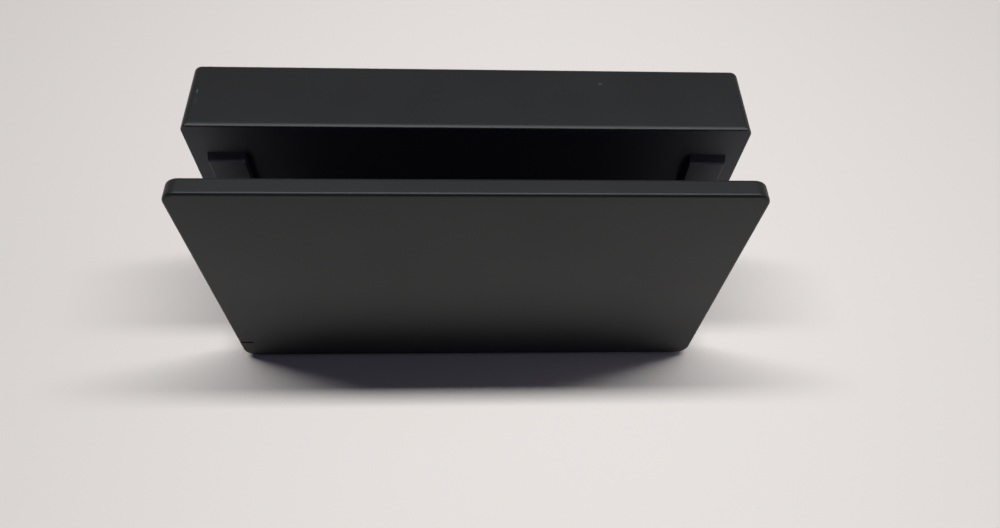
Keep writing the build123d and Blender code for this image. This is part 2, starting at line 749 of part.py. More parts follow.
# Shield can over the two chips
can_left = x_board_left + can_inset
can_low = board_low + can_low_inset
can_middle = (can_left + can_long / 2, can_low + can_tall / 2)
with BuildPart() as shield_can:
    with BuildSketch(facing_front(y_board_back)):
        with Locations(can_middle):
            RectangleRounded(can_long, can_tall, board_corner_radius)
    extrude(amount=-can_high)
    with BuildSketch(facing_front(y_board_back)):
        with Locations(can_middle):
            Rectangle(can_long - 2 * can_metal, can_tall - 2 * can_metal)
    extrude(amount=-can_high + can_metal, mode=Mode.SUBTRACT)
shield_can.part.label = "shield_can"
export_step(shield_can.part, "parts/shield_can.step")

with BuildPart() as hub_chip:
    with BuildSketch(facing_front(y_board_back)):
        with Locations((can_middle[0] - chip_pitch / 2, can_middle[1])):
            Rectangle(hub_chip_size, hub_chip_size)
    extrude(amount=-chip_thick)
hub_chip.part.label = "hub_chip"
export_step(hub_chip.part, "parts/hub_chip.step")

with BuildPart() as video_chip:
    with BuildSketch(facing_front(y_board_back)):
        with Locations((can_middle[0] + chip_pitch / 2, can_middle[1])):
            Rectangle(video_chip_size, video_chip_size)
    extrude(amount=-chip_thick)
video_chip.part.label = "video_chip"
export_step(video_chip.part, "parts/video_chip.step")

# Connectors on the front of the main board, above the ends of the flat cables
y_connector = y_cable_rise - connector_end_gap
with BuildPart() as ribbon_connector:
    block(
        (-ribbon_wide / 2 - connector_end_gap, y_connector, z_connector),
        (ribbon_wide / 2 + connector_end_gap, y_board_front, z_connector + connector_tall),
    )
ribbon_connector.part.label = "ribbon_connector"
export_step(ribbon_connector.part, "parts/ribbon_connector.step")

with BuildPart() as lead_connector:
    block(
        (x_lead - lead_wide / 2 - connector_end_gap, y_connector, z_connector),
        (x_lead + lead_wide / 2 + connector_end_gap, y_board_front, z_connector + connector_tall),
    )
lead_connector.part.label = "lead_connector"
export_step(lead_connector.part, "parts/lead_connector.step")

# Lamp board on the inside of the tray's front wall, with the lamp in the stem's hole
y_led_board = y_panel_back + tray_wall
x_led_board = -x_tray + led_board_inset
with BuildPart() as led_board:
    block(
        (x_led_board, y_led_board, slit_height - led_board_tall / 2),
        (x_led_board + led_board_long, y_led_board + board_thick, slit_height + led_board_tall / 2),
    )
led_board.part.label = "led_board"
export_step(led_board.part, "parts/led_board.step")

with BuildPart() as indicator_led:
    block(
        (stem_place[0] - led_size / 2, y_led_front, slit_height - led_size / 2),
        (stem_place[0] + led_size / 2, y_led_board, slit_height + led_size / 2),
    )
indicator_led.part.label = "indicator_led"
export_step(indicator_led.part, "parts/indicator_led.step")

# Plug holder: a block on two trunnions with an oval neck that comes up through the slot's floor
z_carrier_top = z_tray_under - carrier_drop
z_carrier_low = z_carrier_top - carrier_tall
z_neck = slot_floor + neck_rise
with BuildPart() as plug_carrier:
    block(
        (-carrier_half, y_plug - carrier_wide / 2, z_carrier_low),
        (carrier_half, y_plug + carrier_wide / 2, z_carrier_top),
    )
    with BuildSketch(Plane.XY.offset(z_carrier_top)):
        with Locations((0, y_plug)):
            SlotOverall(neck_long, neck_wide)
    extrude(amount=z_neck - z_carrier_top)
    chamfer(plug_carrier.faces().sort_by(Axis.Z)[-1].edges(), plug_edge)
    with BuildSketch(bearing):
        Circle(trunnion_radius)
    extrude(amount=carrier_half + trunnion_long, both=True)
    with BuildSketch(Plane.XY.offset(z_neck)):
        with Locations((0, y_plug)):
            SlotOverall(plug_wide, plug_thick)
    extrude(amount=-z_neck + z_carrier_low, mode=Mode.SUBTRACT)
plug_carrier.part.label = "plug_carrier"
export_step(plug_carrier.part, "parts/plug_carrier.step")

# Console plug: an oval metal tube set in the holder, open at its top
with BuildPart() as console_plug:
    with BuildSketch(Plane.XY.offset(z_carrier_low)):
        with Locations((0, y_plug)):
            SlotOverall(plug_wide - 2 * pilot_gap, plug_thick - 2 * pilot_gap)
    extrude(amount=z_neck + plug_long - z_carrier_low)
    chamfer(console_plug.faces().sort_by(Axis.Z)[-1].edges(), plug_edge)
    with BuildSketch(Plane.XY.offset(z_neck + plug_long)):
        with Locations((0, y_plug)):
            SlotOverall(plug_wide - 2 * plug_wall - 2 * pilot_gap, plug_thick - 2 * plug_wall - 2 * pilot_gap)
    extrude(amount=-plug_mouth_deep, mode=Mode.SUBTRACT)
console_plug.part.label = "console_plug"
export_step(console_plug.part, "parts/console_plug.step")

# Plug board under the holder, with the ribbon's connector on its underside
z_plug_board = z_carrier_low - plug_board_thick
with BuildPart() as plug_board:
    block(
        (-plug_board_half, y_plug - carrier_wide / 2, z_plug_board),
        (plug_board_half, y_plug + carrier_wide / 2, z_carrier_low),
    )
plug_board.part.label = "plug_board"
export_step(plug_board.part, "parts/plug_board.step")

connector_half = ribbon_wide / 2 + connector_end_gap
with BuildPart() as plug_connector:
    block(
        (-connector_half, y_plug - plug_connector_deep / 2, z_plug_board - plug_connector_tall),
        (connector_half, y_plug + plug_connector_deep / 2, z_plug_board),
    )
plug_connector.part.label = "plug_connector"
export_step(plug_connector.part, "parts/plug_connector.step")


def flat_cable(points, middle, wide):
    """Flat cable of a given width that follows points in Y and Z with rounded bends."""
    path_plane = Plane((middle - wide / 2, 0, 0), x_dir=(0, 1, 0), z_dir=(1, 0, 0))
    with BuildPart() as cable:
        with BuildSketch(path_plane):
            with BuildLine():
                FilletPolyline(*points, radius=cable_bend)
            trace(line_width=cable_thick)
        extrude(amount=wide)
    return cable


# Ribbon cable from the plug's connector, and the lead from the lamp board, both up to the main board
ribbon_start = y_plug + plug_connector_deep / 2 + cable_gap
ribbon_cable = flat_cable(
    [(ribbon_start, z_cable), (y_cable_rise, z_cable), (y_cable_rise, z_cable_end)],
    0,
    ribbon_wide,
)
ribbon_cable.part.label = "ribbon_cable"
export_step(ribbon_cable.part, "parts/ribbon_cable.step")

y_lead_start = y_led_board + board_thick + cable_gap
led_lead = flat_cable(
    [
        (y_lead_start, slit_height),
        (y_lead_start, z_cable),
        (y_cable_rise, z_cable),
        (y_cable_rise, z_cable_end),
    ],
    x_lead,
    lead_wide,
)
led_lead.part.label = "led_lead"
export_step(led_lead.part, "parts/led_lead.step")

# Leaf springs that hold the holder upright, bent from strip, with their feet under the slot's floor
with BuildPart() as plug_springs:
    for side in (-1, 1):
        y_leaf = y_plug + side * (carrier_wide / 2 + spring_gap + spring_thick / 2)
        z_leaf_top = z_tray_under - spring_thick / 2
        spring_plane = Plane((-spring_wide / 2, 0, 0), x_dir=(0, 1, 0), z_dir=(1, 0, 0))
        with BuildSketch(spring_plane):
            with BuildLine():
                Polyline(
                    (y_leaf + side * spring_foot, z_leaf_top),
                    (y_leaf, z_leaf_top),
                    (y_leaf, z_leaf_top - spring_tall),
                )
            trace(line_width=spring_thick)
        extrude(amount=spring_wide)
plug_springs.part.label = "plug_springs"
export_step(plug_springs.part, "parts/plug_springs.step")

# Screws, one group for each place where they are used
with BuildPart() as case_screws:
    screws(facing_front(y_plate_back), case_places, case_screw_long)
    screws(facing_front(y_bay_floor), bay_places, case_screw_long)
case_screws.part.label = "case_screws"
export_step(case_screws.part, "parts/case_screws.step")

with BuildPart() as board_screws:
    screws(facing_front(y_board_back), board_places, board_screw_long)
board_screws.part.label = "board_screws"
export_step(board_screws.part, "parts/board_screws.step")

y_tray_rear = y_body_front - tray_wall
with BuildPart() as tray_screws:
    screws(facing_front(y_led_board), tray_places, tray_screw_long)
    pillars(facing_front(y_tray_rear), tray_places, screw_head_radius, screw_head_tall)
    pillars(facing_front(y_tray_rear), tray_places, screw_radius, -tray_screw_long)
tray_screws.part.label = "tray_screws"
export_step(tray_screws.part, "parts/tray_screws.step")

with BuildPart() as base_screws:
    screws(Plane.XY.offset(z_base + base_screw_recess), base_places, base_screw_long)
base_screws.part.label = "base_screws"
export_step(base_screws.part, "parts/base_screws.step")

# Rubber feet in their recesses
with BuildPart() as rubber_feet:
    with BuildSketch(Plane.XY):
        with Locations(*front_foot_places, *rear_foot_places):
            SlotOverall(foot_long, foot_wide)
    extrude(amount=foot_height + foot_recess)
    chamfer(rubber_feet.faces().group_by(Axis.Z)[0].edges(), foot_edge)
rubber_feet.part.label = "rubber_feet"
export_step(rubber_feet.part, "parts/rubber_feet.step")
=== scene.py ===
"""Looks of a handheld console dock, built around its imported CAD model.

Everything is in metres in the CAD frame: +X right, +Y back, +Z up, with the origin on the table.
"""

import logging
import math
from collections.abc import Iterable
from dataclasses import dataclass
from enum import Enum
from functools import cache

import bpy
import numpy as np
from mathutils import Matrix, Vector


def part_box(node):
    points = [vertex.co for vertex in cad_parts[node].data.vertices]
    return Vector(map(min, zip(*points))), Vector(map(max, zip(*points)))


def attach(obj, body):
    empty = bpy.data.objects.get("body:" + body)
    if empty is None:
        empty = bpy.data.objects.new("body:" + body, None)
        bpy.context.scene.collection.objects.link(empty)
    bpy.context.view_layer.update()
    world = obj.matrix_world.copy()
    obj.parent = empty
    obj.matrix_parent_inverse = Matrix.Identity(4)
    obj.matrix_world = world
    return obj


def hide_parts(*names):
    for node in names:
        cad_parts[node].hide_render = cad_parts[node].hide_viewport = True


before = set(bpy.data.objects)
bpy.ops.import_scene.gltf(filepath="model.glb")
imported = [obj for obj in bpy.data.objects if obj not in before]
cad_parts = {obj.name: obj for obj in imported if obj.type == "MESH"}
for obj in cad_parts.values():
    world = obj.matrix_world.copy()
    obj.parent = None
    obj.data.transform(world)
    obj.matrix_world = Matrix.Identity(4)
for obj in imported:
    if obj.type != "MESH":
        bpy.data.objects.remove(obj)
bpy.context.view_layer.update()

log = logging.getLogger("dock")

MM = 0.001
TINY = 1e-9
IMAGE_WIDTH = 1000

Node = bpy.types.Node
Socket = bpy.types.NodeSocket
Material = bpy.types.Material
Sockets = dict[str, Socket]
Feeds = dict[str | int, object]
Pattern = tuple[Socket, Socket, Socket]
Span = tuple[float, float]
Point = tuple[float, float, float]
Colour = tuple[float, float, float]

FRONT = (0.0, -1.0, 0.0)
DOWN = (0.0, 0.0, -1.0)


class Body(Enum):
    """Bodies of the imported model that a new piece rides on."""

    HOUSING = "housing"
    PLUG = "plug"


class Slot(Enum):
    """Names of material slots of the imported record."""

    SCREW_STEEL = "screw_steel"
    SOCKET_METAL = "socket_metal"
    PLUG_METAL = "plug_metal"


class Axis(Enum):
    """Axes of the CAD frame as unit vectors."""

    X = (1.0, 0.0, 0.0)
    Y = (0.0, 1.0, 0.0)
    Z = (0.0, 0.0, 1.0)


class Graph:
    """Nodes of one shader tree, each made and fed in one step."""

    # Numbers of the Mix node's sockets for the mask, the two colours and the mixed colour.
    MIX_FACTOR, MIX_COLOURS, MIXED_COLOUR = 0, (6, 7), 2

    def __init__(self, tree: bpy.types.NodeTree) -> None:
        """Keep the tree that is built in."""
        self.tree = tree

    @classmethod
    def of(cls, owner: bpy.types.ID) -> "Graph":
        """Switch on and clear the nodes of a material or a world, and return them."""
        owner.use_nodes = True
        owner.node_tree.nodes.clear()
        return cls(owner.node_tree)

    def add(self, kind: str, feeds: Feeds | None = None, **settings: object) -> Node:
        """Add one node.

        Args:
            kind: Blender's name of the node type, without the ShaderNode in front.
            feeds: For each input, a number or colour to set, or an output socket to link.
            settings: Properties of the node itself, set first.

        Returns:
            The new node.
        """
        node = self.tree.nodes.new("ShaderNode" + kind)
        for name, value in settings.items():
            setattr(node, name, value)
        for name, value in (feeds or {}).items():
            if isinstance(value, Socket):
                self.tree.links.new(value, node.inputs[name])
            else:
                node.inputs[name].default_value = value
        return node

    def sum(self, operation: str, *values: object) -> Socket:
        """Work out a number from others, each a number or a socket, with a Math node."""
        return self.add("Math", dict(enumerate(values)), operation=operation).outputs[0]

    def vector(self, operation: str, *values: object) -> Socket:
        """Work out a vector, or the length or product of vectors, with a Vector Math node."""
        node = self.add("VectorMath", dict(enumerate(values)), operation=operation)
        return node.outputs["Value" if operation in ("LENGTH", "DOT_PRODUCT") else "Vector"]

    def noise(self, place: Socket, scale: object, detail: float = 2.0) -> Socket:
        """Return soft noise of a scale, with finer noise added to it as often as detail says."""
        return self.add("TexNoise", {"Vector": place, "Scale": scale, "Detail": detail}).outputs[0]

    def between(self, value: Socket, low: float, high: float) -> Socket:
        """Spread a mask from 0 to 1 over the range from low to high."""
        feeds = {"Value": value, "To Min": low, "To Max": high}
        return self.add("MapRange", feeds).outputs["Result"]

    def step(self, value: Socket, start: float, end: float) -> Socket:
        """Turn a value into a mask with soft edges, 0 at the start and 1 at the end."""
        feeds = {"Value": value, "From Min": start, "From Max": end}
        return self.add("MapRange", feeds, interpolation_type="SMOOTHSTEP").outputs["Result"]

    def blend(self, mask: Socket, first: object, second: object) -> Socket:
        """Mix two colours.

        Args:
            mask: Where it is 0 the first colour shows, and where it is 1 the second.
            first: A colour or an output socket.
            second: A colour or an output socket.

        Returns:
            The socket with the mixed colour.
        """
        feeds: Feeds = {self.MIX_FACTOR: mask}
        for number, value in zip(self.MIX_COLOURS, (first, second)):
            feeds[number] = value if isinstance(value, Socket) else (*value, 1.0)
        return self.add("Mix", feeds, data_type="RGBA").outputs[self.MIXED_COLOUR]

    def place(self) -> Socket:
        """Return the Object coordinates of the surface."""
        return self.add("TexCoord").outputs["Object"]


class SharedEffect:
    """A shader node group that is built once and placed in every material that uses it.

    Attributes:
        title: Name of the group.
        inputs: Name and kind of each input besides Vector, the place on the surface.
        outputs: Name of each output.
    """

    title = ""
    inputs: dict[str, str] = {}
    outputs: tuple[str, ...] = ("Mask",)

    def wire(self, graph: Graph, given: Sockets) -> tuple[Socket, ...]:
        """Build the inside of the group.

        Args:
            graph: The group's nodes.
            given: Its inputs by name.

        Returns:
            One socket for each of the outputs, in order.
        """
        raise NotImplementedError

    def tree(self) -> bpy.types.NodeTree:
        """Build the group at the first call.

        Returns:
            The group, the same one at every call.
        """
        known = bpy.data.node_groups.get(self.title)
        if known:
            return known
        tree = bpy.data.node_groups.new(self.title, "ShaderNodeTree")
        for name, kind in {"Vector": "Vector", **self.inputs}.items():
            tree.interface.new_socket(name, in_out="INPUT", socket_type="NodeSocket" + kind)
        for name in self.outputs:
            tree.interface.new_socket(name, in_out="OUTPUT", socket_type="NodeSocketFloat")
        given = dict(tree.nodes.new("NodeGroupInput").outputs.items())
        leave = tree.nodes.new("NodeGroupOutput")
        for name, result in zip(self.outputs, self.wire(Graph(tree), given)):
            tree.links.new(result, leave.inputs[name])
        return tree

    def put(self, graph: Graph, feeds: Feeds) -> Sockets:
        """Place the group in a material, feed its inputs and return its outputs by name."""
        return dict(graph.add("Group", feeds, node_tree=self.tree()).outputs.items())


class MouldGrain(SharedEffect):
    """Fine even grain of a spark-eroded mould, and the broad patches of gloss that lie over it."""

    title = "mould_grain"
    inputs = {"Grain Size": "Float", "Patch Size": "Float"}
    outputs = ("Height", "Patch")
    NOISE_DETAIL, NOISE_SHARE = 1.5, 0.6
    PIT_SCALE, PIT_SHARE = 0.55, 0.45
    PATCH_DETAIL, PATCH_FADE = 3.0, (0.3, 0.7)

    def wire(self, graph: Graph, given: Sockets) -> tuple[Socket, ...]:
        """Add pits and noise for the height, and a slow noise for the patches."""
        place = given["Vector"]
        fine = graph.sum("DIVIDE", 1.0, given["Grain Size"])
        broad = graph.sum("DIVIDE", 1.0, given["Patch Size"])
        feeds = {"Vector": place, "Scale": graph.sum("MULTIPLY", fine, self.PIT_SCALE)}
        pits = graph.add("TexVoronoi", feeds).outputs["Distance"]
        noise = graph.noise(place, fine, self.NOISE_DETAIL)
        noise = graph.sum("MULTIPLY", noise, self.NOISE_SHARE)
        height = graph.sum("MULTIPLY_ADD", pits, self.PIT_SHARE, noise)
        patch = graph.noise(place, broad, self.PATCH_DETAIL)
        return height, graph.step(patch, *self.PATCH_FADE)


class Scuff(SharedEffect):
    """One rubbed mark: a soft-edged spot of a given place and half size, broken up by noise."""

    title = "scuff"
    inputs = {"Middle": "Vector", "Half Size": "Vector"}
    NOISE_SCALE, NOISE_SHARE = 2200.0, 0.5
    FADE = (1.0, 0.45)

    def wire(self, graph: Graph, given: Sockets) -> tuple[Socket, ...]:
        """Measure the distance from the middle in half sizes, and fade it out at one."""
        place = given["Vector"]
        away = graph.vector("SUBTRACT", place, given["Middle"])
        reach = graph.vector("LENGTH", graph.vector("DIVIDE", away, given["Half Size"]))
        reach = graph.sum("SUBTRACT", reach, self.NOISE_SHARE / 2)
        noise = graph.noise(place, self.NOISE_SCALE)
        ragged = graph.sum("MULTIPLY_ADD", noise, self.NOISE_SHARE, reach)
        return (graph.step(ragged, *self.FADE),)


class Block(SharedEffect):
    """All that lies within a block of a given middle and half size, with a soft edge."""

    title = "block"
    inputs = {"Middle": "Vector", "Half Size": "Vector", "Edge": "Float"}

    def wire(self, graph: Graph, given: Sockets) -> tuple[Socket, ...]:
        """Measure how far out of the block the place is along each axis, and fade the largest."""
        away = graph.vector("SUBTRACT", given["Vector"], given["Middle"])
        past = graph.vector("SUBTRACT", graph.vector("ABSOLUTE", away), given["Half Size"])
        parts = graph.add("SeparateXYZ", {0: past}).outputs
        most = graph.sum("MAXIMUM", parts["X"], graph.sum("MAXIMUM", parts["Y"], parts["Z"]))
        share = graph.sum("DIVIDE", most, given["Edge"])
        return (graph.step(share, 0.0, -1.0),)


class Streaks(SharedEffect):
    """Fine lines of rolled or brushed metal: noise that is stretched along one direction."""

    title = "streaks"
    inputs = {"Stretch": "Vector"}
    DETAIL, FADE = 4.0, (0.25, 0.75)

    def wire(self, graph: Graph, given: Sockets) -> tuple[Socket, ...]:
        """Scale the place unevenly before it goes into the noise."""
        place = graph.vector("MULTIPLY", given["Vector"], given["Stretch"])
        return (graph.step(graph.noise(place, 1.0, self.DETAIL), *self.FADE),)


class Speckle(SharedEffect):
    """Small filler grains in resin, rubber or glass fibre."""

    title = "speckle"
    inputs = {"Grain Size": "Float"}
    FADE = (0.5, 0.1)

    def wire(self, graph: Graph, given: Sockets) -> tuple[Socket, ...]:
        """Cut the cells of a Voronoi pattern down to their middles."""
        scale = graph.sum("DIVIDE", 1.0, given["Grain Size"])
        cells = graph.add("TexVoronoi", {"Vector": given["Vector"], "Scale": scale})
        return (graph.step(cells.outputs["Distance"], *self.FADE),)


class Stripes(SharedEffect):
    """Even stripes across one direction, such as conductors that lie side by side."""

    title = "stripes"
    inputs = {"Across": "Vector", "Pitch": "Float", "Share": "Float"}
    SOFT = 0.04

    def wire(self, graph: Graph, given: Sockets) -> tuple[Socket, ...]:
        """Count pitches across, and mark the middle share of each."""
        across = graph.vector("DOT_PRODUCT", given["Vector"], given["Across"])
        count = graph.sum("DIVIDE", across, given["Pitch"])
        off = graph.sum("ABSOLUTE", graph.sum("SUBTRACT", graph.sum("FRACT", count), 0.5))
        inside = graph.sum("SUBTRACT", graph.sum("MULTIPLY", given["Share"], 0.5), off)
        return (graph.step(inside, -self.SOFT, self.SOFT),)


GRAIN = MouldGrain()
SCUFF = Scuff()
BLOCK = Block()
STREAKS = Streaks()
SPECKLE = Speckle()
STRIPES = Stripes()


def shaded(colour: Colour, tone: float) -> Colour:
    """Return a colour made darker or lighter by a factor."""
    return tuple(min(1.0, part * tone) for part in colour)


@dataclass(frozen=True)
class Finish:
    """What every finish has: its name and the plain values of its shader.

    Attributes:
        title: Name of the material.
        colour: Base colour, linear.
        roughness: Middle roughness.
        spread: How far the roughness goes either way.
        depth: Depth of the relief, in metres.
        ior: Index of refraction.
        metallic: 1 for a metal.
        specular: Level of the gloss, 0.5 for plain plastic.
        tint: Colour of the gloss.
    """

    title: str
    colour: Colour
    roughness: float
    spread: float
    depth: float = 0.02 * MM
    ior: float = 1.5
    metallic: float = 0.0
    specular: float = 0.5
    tint: Colour = (1.0, 1.0, 1.0)

    def pattern(self, graph: Graph) -> Pattern:
        """Work out what varies over the surface.

        Args:
            graph: The material's nodes.

        Returns:
            The colour, a mask that spreads the roughness, and the relief's height from 0 to 1.
        """
        raise NotImplementedError

    @cache
    def material(self) -> Material:
        """Make the material at the first call.

        Returns:
            The material, with the patterns of the finish linked to its shader.
        """
        material = bpy.data.materials.new(self.title)
        graph = Graph.of(material)
        colour, gloss, height = self.pattern(graph)
        rough = graph.between(gloss, self.roughness - self.spread, self.roughness + self.spread)
        bump = graph.add("Bump", {"Height": height, "Distance": self.depth, "Strength": 1.0})
        feeds = {"Base Color": colour, "Roughness": rough, "Normal": bump.outputs[0]}
        feeds |= {"IOR": self.ior, "Metallic": self.metallic}
        feeds |= {"Specular IOR Level": self.specular, "Specular Tint": (*self.tint, 1.0)}
        shader = graph.add("BsdfPrincipled", feeds)
        graph.add("OutputMaterial", {"Surface": shader.outputs[0]})
        return material


@dataclass(frozen=True)
class Mark:
    """A scuff on a moulding: its middle and half size in metres, and how strongly it shows."""

    middle: Point
    half: Point
    strength: float


@dataclass(frozen=True)
class Zone:
    """A block of a moulding in another colour, used here for painted light: its corners, its colour
    and its soft edge.
    """

    low: Point
    high: Point
    colour: Colour
    edge: float = 0.3 * MM

    def mask(self, graph: Graph, place: Socket) -> Socket:
        """Mark the block.

        Args:
            graph: The material's nodes.
            place: The Object coordinates.

        Returns:
            A mask that is 1 inside the block.
        """
        low, high = Vector(self.low), Vector(self.high)
        sizes = {"Middle": (low + high) / 2, "Half Size": (high - low) / 2, "Edge": self.edge}
        return BLOCK.put(graph, {"Vector": place, **sizes})["Mask"]


@dataclass(frozen=True)
class MouldedPlastic(Finish):
    """Satin moulded plastic with a fine grain and uneven gloss.

    Attributes:
        grain: Size of the grain, in metres.
        patch: Size of the patches of gloss, in metres.
        tone: How much darker and lighter the patches are.
        zones: Blocks of it in another colour, used for painted light.
        marks: Scuffs that show on it.
        mark_colour: Colour of the scuffs.
    """

    depth: float = 0.006 * MM
    tint: Colour = (0.92, 0.985, 1.0)
    grain: float = 0.25 * MM
    patch: float = 35 * MM
    tone: float = 0.08
    zones: tuple[Zone, ...] = ()
    marks: tuple[Mark, ...] = ()
    mark_colour: Colour = (0.2, 0.2, 0.2)

    def pattern(self, graph: Graph) -> Pattern:
        """Lay the zones and then the marks over the tone of the patches."""
        place = graph.place()
        feeds = {"Vector": place, "Grain Size": self.grain, "Patch Size": self.patch}
        grain = GRAIN.put(graph, feeds)
        dark, light = shaded(self.colour, 1 - self.tone), shaded(self.colour, 1 + self.tone)
        colour = graph.blend(grain["Patch"], dark, light)
        for zone in self.zones:
            colour = graph.blend(zone.mask(graph, place), colour, zone.colour)
        for mark in self.marks:
            feeds = {"Vector": place, "Middle": mark.middle, "Half Size": mark.half}
            shown = graph.sum("MULTIPLY", SCUFF.put(graph, feeds)["Mask"], mark.strength)
            colour = graph.blend(shown, colour, self.mark_colour)
        return colour, grain["Patch"], grain["Height"]


@dataclass(frozen=True)
class Streaked(Finish):
    """A finish with fine lines, and tone that goes with them.

    Attributes:
        stretch: How many lines there are in a metre along X, Y and Z.
        dark: Tone between the lines.
        light: Tone on them.
    """

    stretch: Point = (400.0, 4000.0, 4000.0)
    dark: float = 0.86
    light: float = 1.08

    def pattern(self, graph: Graph) -> Pattern:
        """Let the lines set the tone, the gloss and the relief."""
        mask = STREAKS.put(graph, {"Vector": graph.place(), "Stretch": self.stretch})["Mask"]
        tones = shaded(self.colour, self.dark), shaded(self.colour, self.light)
        return graph.blend(mask, *tones), mask, mask


@dataclass(frozen=True)
class SmokedLens(Streaked):
    """Polished dark lens of the indicator, with faint flow lines from its moulding."""

    depth: float = 0.002 * MM
    ior: float = 1.49
    stretch: Point = (300.0, 900.0, 2500.0)
    dark: float = 0.7
    light: float = 1.3


@dataclass(frozen=True)
class PlatedMetal(Streaked):
    """Plated sheet or wire with the streaks of its rolling."""

    depth: float = 0.003 * MM
    metallic: float = 1.0


@dataclass(frozen=True)
class Laminate(Finish):
    """Circuit board: lacquer over tracks on its two faces, and bare glass fibre at its edges.

    Attributes:
        face: Axis across the board.
        track_colour: Colour of the lacquer where a track lies under it.
        edge_colour: Colour of the sawn edge.
    """

    # Tracks: the distance between them each way, the share of it that they cover, the fields of
    # them in a metre, and the ranges of chance numbers that turn a field and fill it.
    PITCHES, TRACK_SHARE, FIELDS = (1.1 * MM, 1.3 * MM), 0.34, 130.0
    TURNED, FILLED = (0.49, 0.51), (0.62, 0.6)
    # Fibre: size and relief of its weave, tones of the lacquer over it and of its darker part, and
    # the range of the normal's share across the board over which lacquer covers it.
    WEAVE, WEAVE_RELIEF = 0.35 * MM, 0.2
    LACQUER_TONE, FIBRE_TONE, FACING = 0.9, 0.7, (0.5, 0.8)

    face: Axis = Axis.Y
    track_colour: Colour = (0.02, 0.11, 0.05)
    edge_colour: Colour = (0.33, 0.29, 0.16)

    def pattern(self, graph: Graph) -> Pattern:
        """Fill fields of the faces with tracks of either direction, and weave the edges."""
        place = graph.place()
        runs = []
        for axis, pitch in zip((axis for axis in Axis if axis is not self.face), self.PITCHES):
            feeds = {"Vector": place, "Across": axis.value, "Pitch": pitch}
            runs.append(STRIPES.put(graph, feeds | {"Share": self.TRACK_SHARE})["Mask"])
        feeds = {"Vector": place, "Scale": self.FIELDS}
        cells = graph.add("TexVoronoi", feeds, distance="MANHATTAN")
        chance = graph.add("SeparateColor", {0: cells.outputs["Color"]}).outputs
        along = graph.step(chance[0], *self.TURNED)
        track = graph.sum("MULTIPLY_ADD", along, graph.sum("SUBTRACT", runs[1], runs[0]), runs[0])
        track = graph.sum("MULTIPLY", track, graph.step(chance[1], *self.FILLED))
        weave = SPECKLE.put(graph, {"Vector": place, "Grain Size": self.WEAVE})["Mask"]
        lacquer = graph.blend(track, shaded(self.colour, self.LACQUER_TONE), self.track_colour)
        fibre = graph.blend(weave, self.edge_colour, shaded(self.edge_colour, self.FIBRE_TONE))
        normal = graph.add("NewGeometry").outputs["True Normal"]
        across = graph.vector("DOT_PRODUCT", normal, self.face.value)
        level = graph.step(graph.sum("ABSOLUTE", across), *self.FACING)
        height = graph.sum("MULTIPLY_ADD", weave, self.WEAVE_RELIEF, track)
        return graph.blend(level, fibre, lacquer), weave, height


@dataclass(frozen=True)
class FilledResin(Finish):
    """Chip resin or rubber: small grains of filler in a dull dark mass.

    Attributes:
        grain: Size of the grains, in metres.
        contrast: How much lighter a grain is than what is round it.
    """

    depth: float = 0.01 * MM
    grain: float = 0.12 * MM
    contrast: float = 1.6

    def pattern(self, graph: Graph) -> Pattern:
        """Let the grains set the tone, the gloss and the relief."""
        mask = SPECKLE.put(graph, {"Vector": graph.place(), "Grain Size": self.grain})["Mask"]
        return graph.blend(mask, self.colour, shaded(self.colour, self.contrast)), mask, mask


@dataclass(frozen=True)
class FlatCableFilm(Finish):
    """Film of a flat cable with the conductors showing through it.

    Attributes:
        conductor: Colour of the film over a conductor.
        pitch: Distance from one conductor to the next, in metres.
        share: Share of the pitch that a conductor covers.
    """

    ior: float = 1.55
    conductor: Colour = (0.5, 0.4, 0.28)
    pitch: float = 0.5 * MM
    share: float = 0.6

    def pattern(self, graph: Graph) -> Pattern:
        """Let the conductors set the tone, the gloss and the relief."""
        feeds = {"Vector": graph.place(), "Across": Axis.X.value}
        feeds |= {"Pitch": self.pitch, "Share": self.share}
        mask = STRIPES.put(graph, feeds)["Mask"]
        return graph.blend(mask, self.colour, self.conductor), mask, mask


BLACK = (0.0053, 0.0051, 0.0055)
NICKEL = (0.56, 0.54, 0.5)
GREEN = (0.008, 0.055, 0.026)

# Painted light on the rear wall of the slot: a paler, bluer colour than the outside stands in for
# the faint light in the shaded slot, and partly for a duller matt inner finish.
SLOT_WALL_PAINTED_LIGHT = Zone(
    (-86.4 * MM, -3 * MM, 15 * MM), (86.4 * MM, 0.4 * MM, 101.6 * MM), (0.056, 0.055, 0.074)
)

# Rubbed spots on the top of the rear body.
SCUFFS = (
    Mark((-83.35 * MM, 13.9 * MM, 102 * MM), (0.26 * MM, 1.0 * MM, 1.0 * MM), 0.3),
    Mark((-83.15 * MM, 10.1 * MM, 102 * MM), (0.24 * MM, 1.4 * MM, 1.0 * MM), 0.08),
    Mark((40.95 * MM, 18.75 * MM, 102 * MM), (0.8 * MM, 0.6 * MM, 1.0 * MM), 0.14),
)

# Each finish: its title, colour, roughness and spread of that, then what is its own.
CASE = MouldedPlastic(
    "case_satin_black", BLACK, 0.44, 0.015, specular=0.33, zones=(SLOT_WALL_PAINTED_LIGHT,), marks=SCUFFS
)
INNER = MouldedPlastic("inner_matt_black", (0.012, 0.012, 0.013), 0.5, 0.03, specular=0.38)
HOLDER = MouldedPlastic("holder_black", (0.013, 0.013, 0.014), 0.36, 0.03, grain=0.18 * MM)
CONNECTOR = MouldedPlastic(
    "connector_ivory", (0.62, 0.58, 0.48), 0.45, 0.05, grain=0.2 * MM, patch=4 * MM
)
LAMP = MouldedPlastic("lamp_resin", (0.72, 0.62, 0.28), 0.22, 0.04, grain=0.3 * MM, patch=1.5 * MM)
LENS = SmokedLens("smoked_lens", (0.006, 0.006, 0.007), 0.14, 0.03)
BOARD = Laminate("board_green", GREEN, 0.34, 0.05)
PLUG_BOARD = Laminate("board_plug", GREEN, 0.34, 0.05, face=Axis.Z)
SHELL = PlatedMetal("socket_nickel", NICKEL, 0.27, 0.06)
